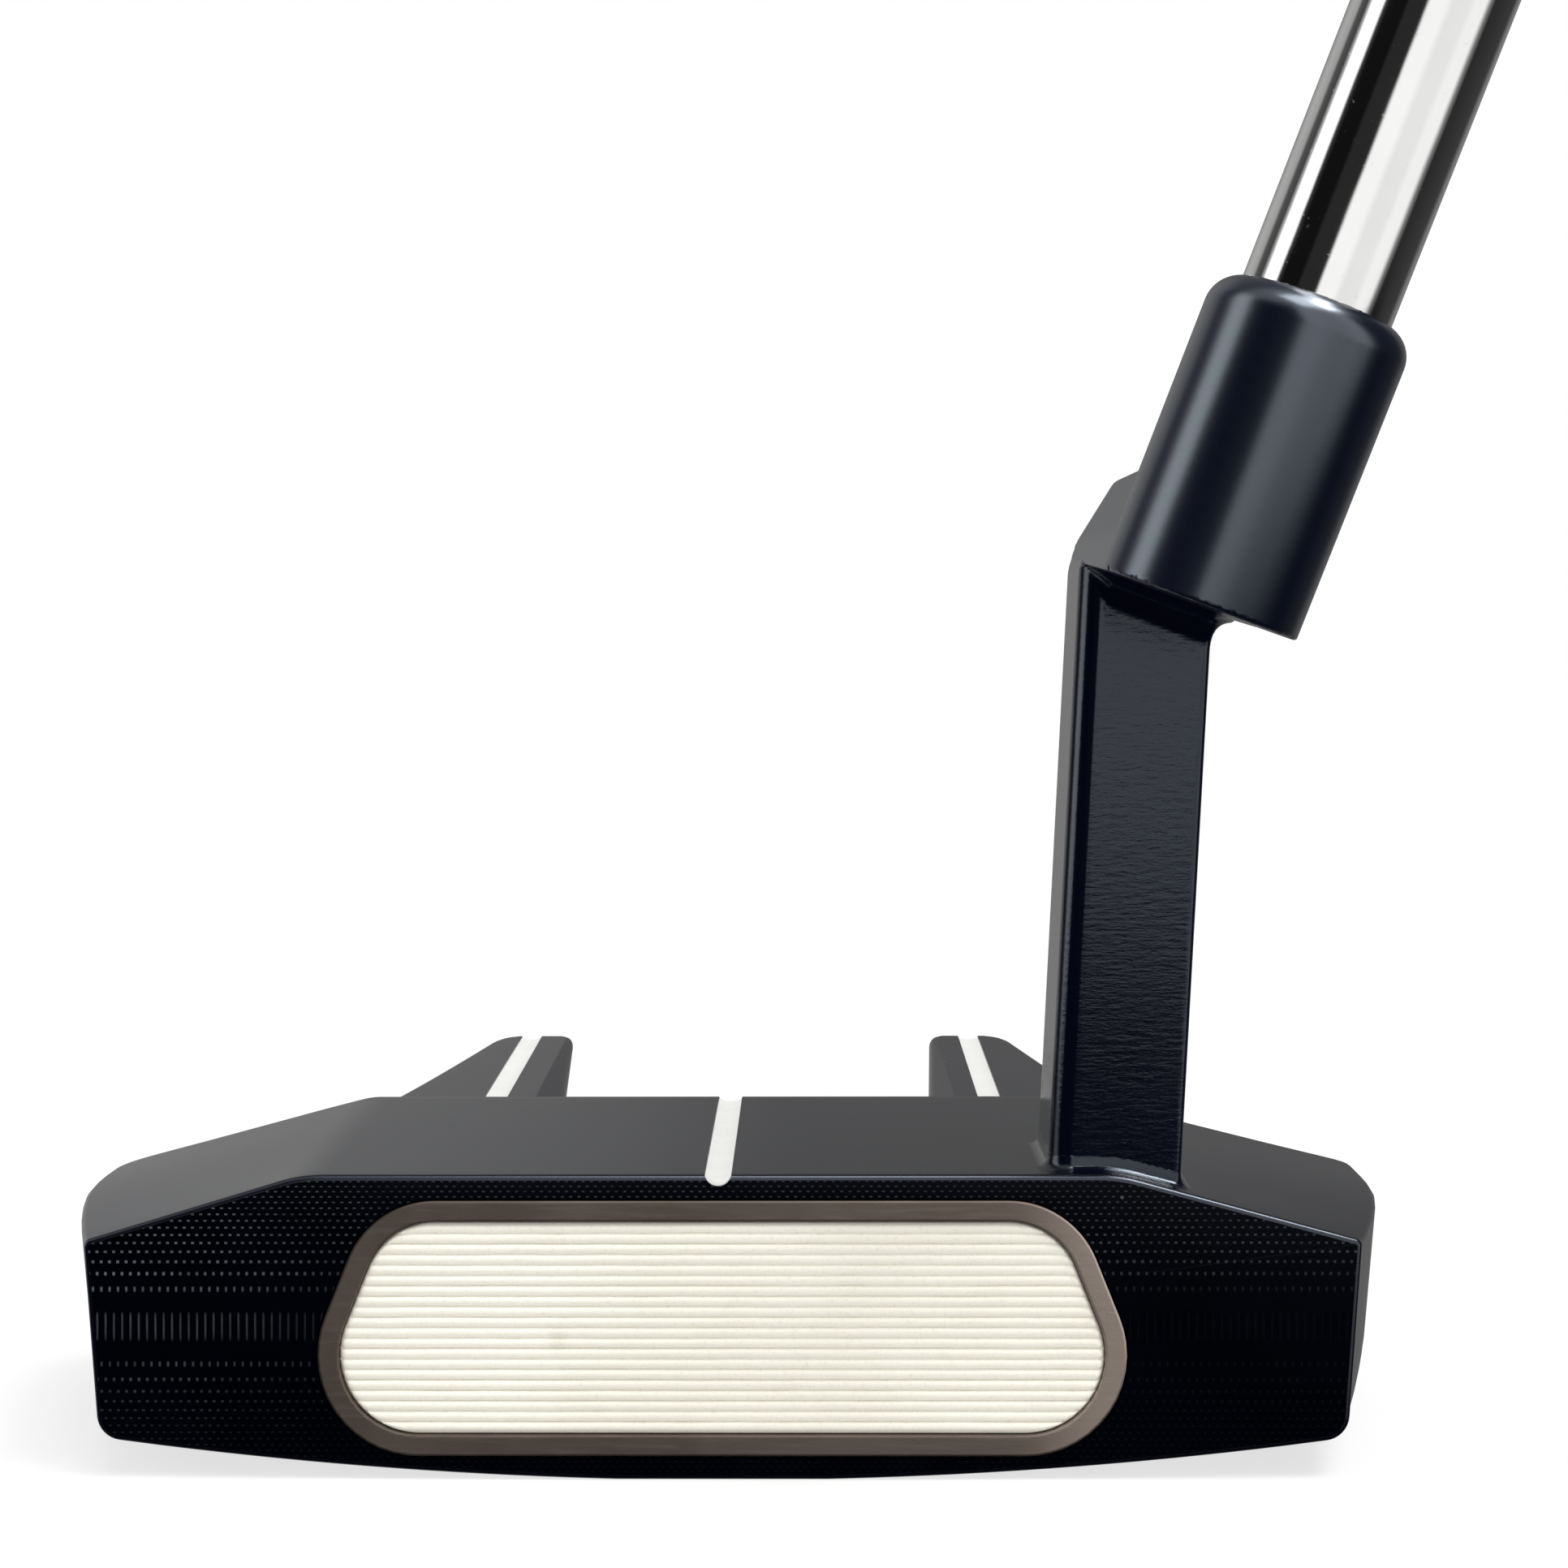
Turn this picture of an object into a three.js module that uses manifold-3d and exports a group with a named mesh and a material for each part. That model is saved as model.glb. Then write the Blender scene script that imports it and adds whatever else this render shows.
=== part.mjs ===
// A right-handed fang mallet putter, soled as it stands at address.
// Millimetres, +Z up. X runs from the toe (-) to the heel (+), the strike face looks along -Y.
// The origin is the middle of the small flat at the lowest place of the sole.
import * as THREE from "three";
import { mergeVertices } from "three/addons/utils/BufferGeometryUtils.js";
import Module from "manifold-3d";

const wasm = await Module();
wasm.setup();

// ---- Driving dimensions -------------------------------------------------------------

// Head. Distances "from the face" are measured back from the top edge of the strike face.
const headHeight = 23.3;
const faceSetback = 22; // the sole flat's middle lies this far behind the top edge of the face
const faceLoft = 3; // degrees
const faceHalfWidth = 48.65;
const headHalfWidth = 53.8; // at the widest place, behind the face
const widestFromFace = 20;
const barDepth = 33.2;
const rearCornerHalfWidth = 46.6; // the rear corners are drawn in this far
const ridgeX = 30.3; // the level middle of the top ends here, and the shoulders fall away
const shoulderFallFront = 0.27; // fall per millimetre, at the face
const shoulderFallRear = 0.21;
const soleRadius = 350; // heel-to-toe camber
const soleFlatWidth = 16;
const sideDraft = 0.06;
const soleCornerFront = 1.1; // rounding where the sides meet the sole, at the face
const soleCornerRear = 5; // and at the widest place
const edgeRadiusFront = 0.7; // rounding of the bar's top edge
const edgeRadiusRear = 0.8;

// Rear fangs.
const fangDrop = 1.5; // the fang tops lie this far below the top of the bar
const fangEnd = 75.7; // from the face
const fangShift = 0.8; // the pair of fangs sits a little toward the heel
const fangLineShift = 0.65; // and so do the lines on them
const fangInnerRoot = 19.3; // inner top edge where the fang leaves the bar
const fangInnerTip = 19.9;
const fangOuterRoot = 33.4;
const fangOuterTip = 26.3;
const fangBevelWidth = 2.9;
const fangBevelDrop = 0.3;
const fangSoleRise = 7;

// Sight lines: round-bottomed grooves with enamel laid in them.
const lineWidth = 2.1;
const lineDepth = 0.85;
const lineX = 22.7; // fang lines, either side of the fang pair's own middle
const enamelBelow = 0.12; // the enamel stops this far below the metal
const enamelGap = 0.05;

// Face insert: a metal tray let into the face, with a ribbed polymer pad inside it.
const insertTop = 21.4;
const insertBottom = 1.8;
const insertTopHalf = 26.8;
const insertSideSlope = 0.4; // how far each side moves out per millimetre down
const insertTopRadius = 7.2;
const insertBottomRadius = 7.75;
const rimWidth = 1.65;
const trayDepth = 4.2;
const trayFloor = 1.2;
const padThickness = 2.7;
const ribPitch = 0.8;
const ribGrooveWidth = 0.32;
const ribGrooveDepth = 0.3;
const tapeThickness = 0.25;
const insertFit = 0.12; // clearance round the tray and round the pad

// Screw-in sole weights.
const weightX = 37;
const weightFromFace = 16;
const weightRadius = 6;
const weightLength = 7.5;
const weightFit = 0.15;
const weightSocketAcross = 4.4;
const weightSocketDepth = 2.6;
const washerThickness = 0.6;

// Crank neck.
const postWidth = 10.15;
const postFront = 1.5; // from the face
const postDepth = 10.5;
const postLeft = 25.15; // at the level of the top of the head
const postLean = 2.73; // degrees toward the heel
const postCorner = 1.9;
const socketDepth = 1.2; // a shallow seat the shape of the post
const socketFit = 0.12;
const tenonRadius = 2.6; // a round tenon under the post goes deeper, behind the insert
const tenonDepth = 8;
const tenonBack = 7; // from the post's front
const filletReach = 1.1;
const filletHeight = 1.1;

// Barrel and shaft share one axis.
const lieAngle = 69.3;
const forwardLean = 3;
const axisX = 37.6;
const axisFromFace = -18.6;
const axisZ = 78; // the height where the axis passes through axisX and axisFromFace
const barrelRadius = 7.05;
const barrelBelow = 12.3; // along the axis, from the point above
const barrelAbove = 9.3;
const barrelCrown = 2.25;
const barrelFloor = 3;
const shaftTipRadius = 5.25;
const shaftButtRadius = 7.4;
const shaftWall = 0.9;
const shaftFit = 0.1;
const clubLength = 863.6; // from the ground to the butt, along the shaft
const plugLength = 8;

// Grip.
const gripLength = 266;
const gripLowRadius = 9.3;
const gripHighRadius = 12.2;
const gripPistolReach = 17.5;
const gripFlat = 0.84; // the thumb flat's distance from the axis, as a share of the radius
const gripCap = 3.5;
const gripVentRadius = 1.6;
const tapeSleeve = 0.25;
const gripFit = 0.12;

// ---- Derived places -----------------------------------------------------------------

const loft = THREE.MathUtils.degToRad(faceLoft);
const lie = THREE.MathUtils.degToRad(lieAngle);
const press = THREE.MathUtils.degToRad(forwardLean);
const shaftAxis = new THREE.Vector3(
  Math.cos(lie),
  -Math.sin(press) * Math.sin(lie),
  Math.sin(lie) * Math.cos(press),
).normalize();
const axisPoint = new THREE.Vector3(axisX, axisFromFace - faceSetback, axisZ);
const groundToPoint = axisZ / shaftAxis.z;
const buttAt = clubLength - groundToPoint;
const gripStart = buttAt - gripLength;
const fangTop = headHeight - fangDrop;

// ---- Solids -------------------------------------------------------------------------

/** A manifold solid from any closed three.js geometry, facing out. */
function solidOf(geometry) {
  const loose = geometry.index ? geometry.toNonIndexed() : geometry;
  const plain = new THREE.BufferGeometry();
  plain.setAttribute("position", loose.getAttribute("position"));
  const merged = mergeVertices(plain, 1e-4);
  const index = merged.index.array;
  const kept = [];
  for (let i = 0; i < index.length; i += 3) {
    const [a, b, c] = [index[i], index[i + 1], index[i + 2]];
    if (a !== b && b !== c && a !== c) kept.push(a, b, c);
  }
  const build = (triangles) =>
    new wasm.Manifold(
      new wasm.Mesh({
        numProp: 3,
        vertProperties: new Float32Array(merged.attributes.position.array),
        triVerts: new Uint32Array(triangles),
      }),
    );
  const made = build(kept);
  if (made.volume() > 0) return made;
  const turned = [];
  for (let i = 0; i < kept.length; i += 3) turned.push(kept[i], kept[i + 2], kept[i + 1]);
  return build(turned);
}

/** A closed geometry through a row of rings that all hold the same number of points. */
function loftThrough(rings) {
  const count = rings[0].length;
  const points = rings.flat().map((p) => new THREE.Vector3(...p));
  const index = [];
  for (let r = 0; r < rings.length - 1; r += 1) {
    for (let i = 0; i < count; i += 1) {
      const a = r * count + i;
      const b = r * count + ((i + 1) % count);
      index.push(a, b, b + count, a, b + count, a + count);
    }
  }
  for (const [row, flip] of [[0, true], [rings.length - 1, false]]) {
    const middle = new THREE.Vector3();
    for (let i = 0; i < count; i += 1) middle.add(points[row * count + i]);
    points.push(middle.divideScalar(count));
    const hub = points.length - 1;
    for (let i = 0; i < count; i += 1) {
      const a = row * count + i;
      const b = row * count + ((i + 1) % count);
      if (flip) index.push(hub, b, a);
      else index.push(hub, a, b);
    }
  }
  const geometry = new THREE.BufferGeometry().setFromPoints(points);
  geometry.setIndex(index);
  return geometry;
}

/** Corner points, each [a, b, radius], walked round with an arc of equal steps at every corner. */
function rounded(corners, steps = 4) {
  const out = [];
  corners.forEach(([x, y, radius], i) => {
    const here = new THREE.Vector2(x, y);
    const before = corners[(i + corners.length - 1) % corners.length];
    const after = corners[(i + 1) % corners.length];
    const back = new THREE.Vector2(before[0], before[1]).sub(here);
    const on = new THREE.Vector2(after[0], after[1]).sub(here);
    const room = 0.48 * Math.min(back.length(), on.length());
    back.normalize();
    on.normalize();
    const half = Math.acos(THREE.MathUtils.clamp(back.dot(on), -1, 1)) / 2;
    const reach = Math.min(radius / Math.tan(half), room);
    if (!(reach > 1e-3)) {
      out.push([x, y]);
      return;
    }
    const start = here.clone().addScaledVector(back, reach);
    const end = here.clone().addScaledVector(on, reach);
    for (let s = 0; s <= steps; s += 1) {
      const t = s / steps;
      const curve = new THREE.QuadraticBezierCurve(start, here, end).getPoint(t);
      out.push([curve.x, curve.y]);
    }
  });
  return out;
}

function boxSolid(x0, x1, y0, y1, z0, z1) {
  const box = new THREE.BoxGeometry(x1 - x0, y1 - y0, z1 - z0);
  return solidOf(box.translate((x0 + x1) / 2, (y0 + y1) / 2, (z0 + z1) / 2));
}

function cylinderSolid(radius, length, sides = 40) {
  return solidOf(new THREE.CylinderGeometry(radius, radius, length, sides));
}

/** A turned solid: its profile is [radius, height] from the axis round and back to the axis. */
function turnedSolid(profile, sides = 48) {
  const points = profile.map(([r, h]) => new THREE.Vector2(r, h));
  return solidOf(new THREE.LatheGeometry(points, sides));
}

function placed(solid, matrix) {
  return solid.transform(matrix.elements);
}

/** A smooth value through [place, value] pairs. */
function along(pairs, place) {
  if (place <= pairs[0][0]) return pairs[0][1];
  for (let i = 1; i < pairs.length; i += 1) {
    const [p1, v1] = pairs[i];
    if (place <= p1) {
      const [p0, v0] = pairs[i - 1];
      return v0 + ((v1 - v0) * (place - p0)) / (p1 - p0);
    }
  }
  return pairs[pairs.length - 1][1];
}

// ---- Head body ----------------------------------------------------------------------

function soleHeight(x) {
  const bow = soleRadius - Math.sqrt(soleRadius ** 2 - x ** 2);
  const flat = soleRadius - Math.sqrt(soleRadius ** 2 - (soleFlatWidth / 2) ** 2);
  return Math.max(0, bow - flat);
}

const flare = headHalfWidth - faceHalfWidth;
const cutAcross = headHalfWidth - rearCornerHalfWidth;
const halfWidths = [
  [0, faceHalfWidth],
  [0.2 * widestFromFace, faceHalfWidth + 0.3 * flare],
  [0.4 * widestFromFace, faceHalfWidth + 0.57 * flare],
  [0.6 * widestFromFace, faceHalfWidth + 0.8 * flare],
  [0.8 * widestFromFace, faceHalfWidth + 0.95 * flare],
  [widestFromFace, headHalfWidth],
  ...[[0.3, 0.02], [0.44, 0.1], [0.53, 0.25], [0.59, 0.47], [0.65, 0.87], [0.82, 2], [1, 3.15]].map(
    ([back, across]) => [widestFromFace + back * (barDepth - widestFromFace), headHalfWidth - across * cutAcross],
  ),
];

function shoulderFall(y) {
  const ease = Math.min(1, Math.max(0, y) / 14);
  return shoulderFallFront + (shoulderFallRear - shoulderFallFront) * ease;
}

/** Half of the bar's outline at a station: the ridge, the shoulder, the side and the sole. */
function halfBar(y) {
  const width = along(halfWidths, y);
  const topEdge = headHeight - shoulderFall(y) * (width - ridgeX);
  const soleEdge = width - sideDraft * topEdge;
  const edgeRadius = along([[0, edgeRadiusFront], [10, edgeRadiusRear]], y);
  const soleCorner = along([[0, soleCornerFront], [widestFromFace, soleCornerRear]], y);
  const rise = 0.0016 * Math.max(0, y - 20) ** 2;
  const corners = [
    [ridgeX, headHeight, 0],
    [width, topEdge, edgeRadius],
    [soleEdge, soleHeight(soleEdge) + rise, soleCorner],
  ];
  const shares = [0.78, 0.66, 0.53, 0.4, 0.28];
  for (const share of shares) {
    const x = soleEdge * share;
    corners.push([x, soleHeight(x) + rise, 0]);
  }
  corners.push([soleFlatWidth / 2, rise, 0]);
  return corners;
}

function barSolid() {
  const stations = [-4, 0, ...halfWidths.slice(1).map(([place]) => place)];
  const rings = stations.map((y) => {
    const right = halfBar(y);
    const left = right.map(([x, z, radius]) => [-x, z, radius]).reverse();
    return rounded([...right, ...left]).map(([x, z]) => [x, y - faceSetback, z]);
  });
  return solidOf(loftThrough(rings));
}

function fangSolid(side) {
  const tip = fangEnd;
  const stations = [24, barDepth, 42, 50, 58, 65, 70, tip - 2.6, tip - 1.2, tip - 0.4, tip];
  const narrowing = [[tip - 4, 0], [tip - 2.6, 0.1], [tip - 1.2, 0.45], [tip - 0.4, 1], [tip, 1.6]];
  const rings = stations.map((y) => {
    const share = Math.max(0, (y - barDepth) / (tip - barDepth));
    const pinch = along(narrowing, y);
    const inner = fangInnerRoot + (fangInnerTip - fangInnerRoot) * share + 0.4 * pinch;
    const outer = fangOuterRoot + (fangOuterTip - fangOuterRoot) * share ** 0.85 - pinch;
    const bevel = fangBevelWidth * (1 - 0.45 * share);
    const under = 1.2 + fangSoleRise * share ** 1.3 + pinch;
    const corners = [
      [outer, fangTop, 0.5],
      [outer + 1.8 * (1 - 0.5 * share), under + 3, 1.5],
      [outer - 1.5, under, 2],
      [inner - bevel + 2, under, 2],
      [inner - bevel, fangTop - fangBevelDrop, 1],
      [inner, fangTop, 0.4],
    ];
    return rounded(corners).map(([x, z]) => [side * x + fangShift, y - faceSetback, z]);
  });
  return solidOf(loftThrough(rings));
}

/** A round-bottomed groove or its enamel, running along Y between two distances from the face. */
function lineSolid(x, top, from, to, gap) {
  const radius = lineWidth / 2 + 0.02 - gap;
  const middle = top - lineDepth + lineWidth / 2 + 0.02;
  const rod = cylinderSolid(radius, to - from, 24).translate([x, (from + to) / 2 - faceSetback, middle]);
  if (!gap) return rod;
  const above = boxSolid(x - 3, x + 3, from - faceSetback - 5, to - faceSetback + 5, top - enamelBelow, top + 5);
  return rod.subtract(above);
}

const lines = {
  center_sight_line: [0, headHeight, 0.25, barDepth - 0.1],
  toe_fang_line: [-lineX + fangLineShift, fangTop, barDepth + 0.4, fangEnd - 0.3],
  heel_fang_line: [lineX + fangLineShift, fangTop, barDepth + 0.4, fangEnd - 0.3],
};

/** Face frame: X along the face, Y up the face, Z out of it; its origin is on the face at ground level. */
const faceFrame = new THREE.Matrix4().makeBasis(
  new THREE.Vector3(1, 0, 0),
  new THREE.Vector3(0, Math.sin(loft), Math.cos(loft)),
  new THREE.Vector3(0, -Math.cos(loft), Math.sin(loft)),
);
faceFrame.setPosition(0, -headHeight * Math.tan(loft) - faceSetback, 0);

function insertShape(inset) {
  const top = insertTop - inset;
  const bottom = insertBottom + inset;
  const lean = Math.hypot(1, insertSideSlope);
  const sideAt = (height) => insertTopHalf + insertSideSlope * (insertTop - height) - inset * lean;
  const corners = [
    [-sideAt(top), top, insertTopRadius - inset],
    [sideAt(top), top, insertTopRadius - inset],
    [sideAt(bottom), bottom, insertBottomRadius - inset],
    [-sideAt(bottom), bottom, insertBottomRadius - inset],
  ];
  const shape = new THREE.Shape();
  corners.forEach(([x, y, radius], i) => {
    const before = corners[(i + 3) % 4];
    const after = corners[(i + 1) % 4];
    const back = new THREE.Vector2(before[0] - x, before[1] - y).normalize();
    const on = new THREE.Vector2(after[0] - x, after[1] - y).normalize();
    const half = Math.acos(back.dot(on)) / 2;
    const reach = radius / Math.tan(half);
    const start = new THREE.Vector2(x, y).addScaledVector(back, reach);
    const middle = back.clone().add(on).normalize().multiplyScalar(radius / Math.sin(half));
    const center = new THREE.Vector2(x, y).add(middle);
    const from = start.clone().sub(center).angle();
    const end = new THREE.Vector2(x, y).addScaledVector(on, reach).sub(center).angle();
    shape.absarc(center.x, center.y, radius, from, end, true);
  });
  return shape;
}

/** The insert outline, extruded between two depths behind the face. */
function insertSolid(inset, from, to, steps = 10) {
  const slab = new THREE.ExtrudeGeometry(insertShape(inset), {
    depth: to - from,
    bevelEnabled: false,
    curveSegments: steps,
  });
  return placed(solidOf(slab.translate(0, 0, -to)), faceFrame);
}

function weightPlace(side) {
  const lift = soleHeight(weightX + weightRadius) + 0.2;
  return new THREE.Matrix4().makeTranslation(side * weightX, weightFromFace - faceSetback, lift);
}

function weightPocket(side) {
  const length = weightLength + washerThickness + 2 * weightFit + 8;
  const hole = cylinderSolid(weightRadius + weightFit, length).rotate([90, 0, 0]);
  const up = length / 2 - 8;
  return placed(hole.translate([0, 0, up]), weightPlace(side));
}

// ---- Crank neck ---------------------------------------------------------------------

/** The post's outline, grown outward by an amount, at a height, as ring points. */
function postRing(height, grow) {
  const lean = Math.tan(THREE.MathUtils.degToRad(postLean)) * (height - headHeight);
  const x0 = postLeft + lean - grow;
  const x1 = postLeft + postWidth + lean + grow;
  const y0 = postFront - faceSetback - grow;
  const y1 = postFront + postDepth - faceSetback + grow;
  const radius = postCorner + grow;
  const corners = [[x0, y0, radius], [x1, y0, radius], [x1, y1, radius], [x0, y1, radius]];
  return rounded(corners, 5).map(([x, y]) => [x, y, height]);
}

function postSolid(from, to, grow = 0) {
  return solidOf(loftThrough([postRing(from, grow), postRing(to, grow)]));
}

/** The round tenon under the post, or the hole it drops into. */
function tenonSolid(depth, radius) {
  const length = depth + 3;
  const rod = cylinderSolid(radius, length, 32).rotate([90, 0, 0]);
  const x = postLeft + postWidth / 2;
  const y = postFront + tenonBack - faceSetback;
  return rod.translate([x, y, headHeight - depth + length / 2]);
}

/** Turns a solid made along +Y round the shaft axis; its zero height lands on the axis point. */
const axisFrame = new THREE.Matrix4().compose(
  axisPoint,
  new THREE.Quaternion().setFromUnitVectors(new THREE.Vector3(0, 1, 0), shaftAxis),
  new THREE.Vector3(1, 1, 1),
);

function onAxis(solid) {
  return placed(solid, axisFrame);
}

/** The arm joins the post to the barrel; its outline is drawn looking along Y. */
function armSolid() {
  const slant = 1 / Math.tan(lie);
  const underX = axisX - Math.cos(lie) * barrelBelow;
  const underZ = axisZ - Math.sin(lie) * barrelBelow;
  const under = (x) => underZ - slant * (x - underX);
  const leftX = postLeft + Math.tan(THREE.MathUtils.degToRad(postLean)) * (underZ - headHeight);
  const rightX = underX + 5.2;
  const rise = 9.4;
  const top = axisZ - 1.3;
  const topX = leftX + 5.4;
  const outline = [
    [leftX, under(leftX), 0],
    [rightX, under(rightX), 0.8],
    [rightX + slant * rise, under(rightX) + rise, 2],
    [topX, top, 1.6],
    [topX - 1.6, top - 0.8, 0.8],
    [leftX + 1.3, top - 4.2, 2],
    [leftX + 0.2, top - 7.2, 1.5],
  ];
  const shape = new THREE.Shape(rounded(outline).map(([x, z]) => new THREE.Vector2(x, z)));
  const front = axisFromFace;
  const back = postFront + postDepth;
  const slab = new THREE.ExtrudeGeometry(shape, { depth: back - front, bevelEnabled: false });
  slab.rotateX(Math.PI / 2);
  return solidOf(slab.translate(0, back - faceSetback, 0));
}

function barrelProfile() {
  const crown = [];
  for (let i = 0; i <= 5; i += 1) {
    const angle = (i / 5) * (Math.PI / 2);
    const middleR = barrelRadius - barrelCrown;
    const middleH = barrelAbove - barrelCrown;
    crown.push([middleR + barrelCrown * Math.cos(angle), middleH + barrelCrown * Math.sin(angle)]);
  }
  return [[0, -barrelBelow], [barrelRadius - 0.4, -barrelBelow], [barrelRadius, 0.4 - barrelBelow], ...crown, [0, barrelAbove]];
}

function neckSolid() {
  const shank = postSolid(headHeight - socketDepth, axisZ - barrelBelow - 0.5);
  const post = shank.add(tenonSolid(tenonDepth, tenonRadius));
  const barrel = onAxis(turnedSolid(barrelProfile()));
  const boreLength = barrelAbove + barrelBelow - barrelFloor + 4;
  const bore = cylinderSolid(shaftTipRadius + shaftFit, boreLength, 48);
  const boreUp = barrelFloor - barrelBelow + boreLength / 2;
  return post.add(armSolid()).add(barrel).subtract(onAxis(bore.translate([0, boreUp, 0])));
}

/** The dressed weld round the post's foot. It follows the fall of the shoulder. */
function filletSolid(head) {
  const low = headHeight - 2.6;
  const middle = headHeight + 0.35 * filletHeight;
  const high = headHeight + filletHeight;
  const ring = solidOf(
    loftThrough([postRing(low, filletReach), postRing(middle, 0.3 * filletReach), postRing(high, socketFit + 0.1)]),
  );
  return ring.subtract(postSolid(low - 1, high + 1, socketFit)).subtract(head.translate([0, 0, 0.03]));
}

// ---- Shaft and grip -----------------------------------------------------------------

const shaftStart = barrelFloor - barrelBelow + shaftFit;
const shaftEnd = buttAt - gripCap - 0.3;

function shaftRadius(place) {
  const parallelTo = 120;
  const share = Math.max(0, (place - parallelTo) / (shaftEnd - parallelTo));
  return shaftTipRadius + (shaftButtRadius - shaftTipRadius) * share;
}

function sleeveSolid(places, outer, inner, sides = 48) {
  const out = places.map((p) => [outer(p), p]);
  const back = [...places].reverse().map((p) => [inner(p), p]);
  return turnedSolid([...out, ...back, out[0]], sides);
}

function shaftSolid() {
  const places = [shaftStart, 120, 300, 500, shaftEnd];
  return onAxis(sleeveSolid(places, shaftRadius, (p) => shaftRadius(p) - shaftWall));
}

function tipPlugSolid() {
  const plug = cylinderSolid(shaftTipRadius - shaftWall - 0.1, plugLength, 32);
  return onAxis(plug.translate([0, shaftStart + 0.5 + plugLength / 2, 0]));
}

function gripTapeSolid() {
  const places = [gripStart + 4, gripStart + 120, shaftEnd - 1];
  const inner = (p) => shaftRadius(p) + 0.06;
  return onAxis(sleeveSolid(places, (p) => inner(p) + tapeSleeve, inner, 40));
}

/** One ring of the grip. The thumb flat faces away from the player, the pistol swell toward them. */
function gripRing(share) {
  const radius = gripLowRadius + (gripHighRadius - gripLowRadius) * share ** 0.8;
  const swell = THREE.MathUtils.smoothstep(share, 0.45, 0.86) * (gripPistolReach - gripHighRadius);
  const tuck = THREE.MathUtils.smoothstep(share, 0.9, 1) * 3.2;
  const ring = [];
  for (let i = 0; i < 40; i += 1) {
    const angle = (i / 40) * Math.PI * 2;
    const facing = Math.cos(angle);
    const flat = facing > 0.2 ? (gripFlat * radius) / facing : Infinity;
    const back = facing < 0 ? (swell - tuck * 0.6) * facing ** 2 : 0;
    const reach = Math.min(radius, flat) + back;
    ring.push([-reach * facing, gripStart + share * gripLength, reach * Math.sin(angle)]);
  }
  return ring;
}

function gripSolid() {
  const shares = [0, 0.06, 0.2, 0.35, 0.5, 0.6, 0.68, 0.76, 0.84, 0.9, 0.95, 0.985, 1];
  const body = solidOf(loftThrough(shares.map(gripRing)));
  const wall = tapeSleeve + 0.06 + gripFit;
  const bore = turnedSolid(
    [
      [0, gripStart - 2],
      [shaftRadius(gripStart) + wall, gripStart - 2],
      [shaftRadius(shaftEnd) + wall, shaftEnd + 0.15],
      [0, shaftEnd + 0.15],
    ],
    40,
  );
  const vent = cylinderSolid(gripVentRadius, 20, 20).translate([0, buttAt, 0]);
  return onAxis(body.subtract(bore).subtract(vent));
}

// ---- Assembly -----------------------------------------------------------------------

const finishes = {
  black_finish: { color: 0x24272e, metalness: 0.7, roughness: 0.5 },
  taupe_metal: { color: 0x6e6259, metalness: 0.9, roughness: 0.35 },
  cream_polymer: { color: 0xf0ecde, metalness: 0, roughness: 0.7 },
  adhesive: { color: 0xb9a87c, metalness: 0, roughness: 0.8 },
  white_enamel: { color: 0xf2f2ee, metalness: 0, roughness: 0.5 },
  weight_steel: { color: 0x8b8e92, metalness: 0.9, roughness: 0.35 },
  nylon: { color: 0xd9d6cc, metalness: 0, roughness: 0.6 },
  chrome_steel: { color: 0xd5d7da, metalness: 1, roughness: 0.12 },
  cork: { color: 0xa77b4f, metalness: 0, roughness: 0.9 },
  grip_rubber: { color: 0x1b1c1e, metalness: 0, roughness: 0.8 },
};

const putter = new THREE.Group();
putter.name = "mallet_putter";

function addPart(name, solid, finish) {
  const made = solid.getMesh();
  const places = new Float32Array(made.numVert * 3);
  for (let i = 0; i < made.numVert; i += 1) {
    places.set(made.vertProperties.subarray(i * made.numProp, i * made.numProp + 3), i * 3);
  }
  const geometry = new THREE.BufferGeometry();
  geometry.setAttribute("position", new THREE.BufferAttribute(places, 3));
  geometry.setIndex(new THREE.BufferAttribute(made.triVerts, 1));
  geometry.computeVertexNormals();
  const mesh = new THREE.Mesh(geometry, new THREE.MeshStandardMaterial(finishes[finish]));
  mesh.name = name;
  putter.add(mesh);
}

// Head body: bar and fangs, trimmed to the lofted face, then pocketed and grooved.
const ahead = new THREE.Matrix4().makeTranslation(0, 0, 10).premultiply(faceFrame);
const frontWaste = placed(solidOf(new THREE.BoxGeometry(140, 120, 20)), ahead);
let head = barSolid().add(fangSolid(1)).add(fangSolid(-1)).subtract(frontWaste);
const closedHead = head;
head = head.subtract(insertSolid(-insertFit, -1, trayDepth + tapeThickness + 0.1));
head = head.subtract(postSolid(headHeight - socketDepth - 0.1, headHeight + 10, socketFit));
head = head.subtract(tenonSolid(tenonDepth + 0.3, tenonRadius + socketFit));
for (const side of [-1, 1]) head = head.subtract(weightPocket(side));
for (const [name, [x, top, from, to]] of Object.entries(lines)) {
  const start = name === "center_sight_line" ? from - 4 : from - 0.4;
  head = head.subtract(lineSolid(x, top, start, to + 4, 0));
}
addPart("head_body", head, "black_finish");

// Face insert, from the face inward.
const padFront = trayDepth - trayFloor - padThickness;
const tray = insertSolid(0, 0, trayDepth).subtract(insertSolid(rimWidth, -1, trayDepth - trayFloor));
addPart("insert_rim_tray", tray, "taupe_metal");

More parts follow.
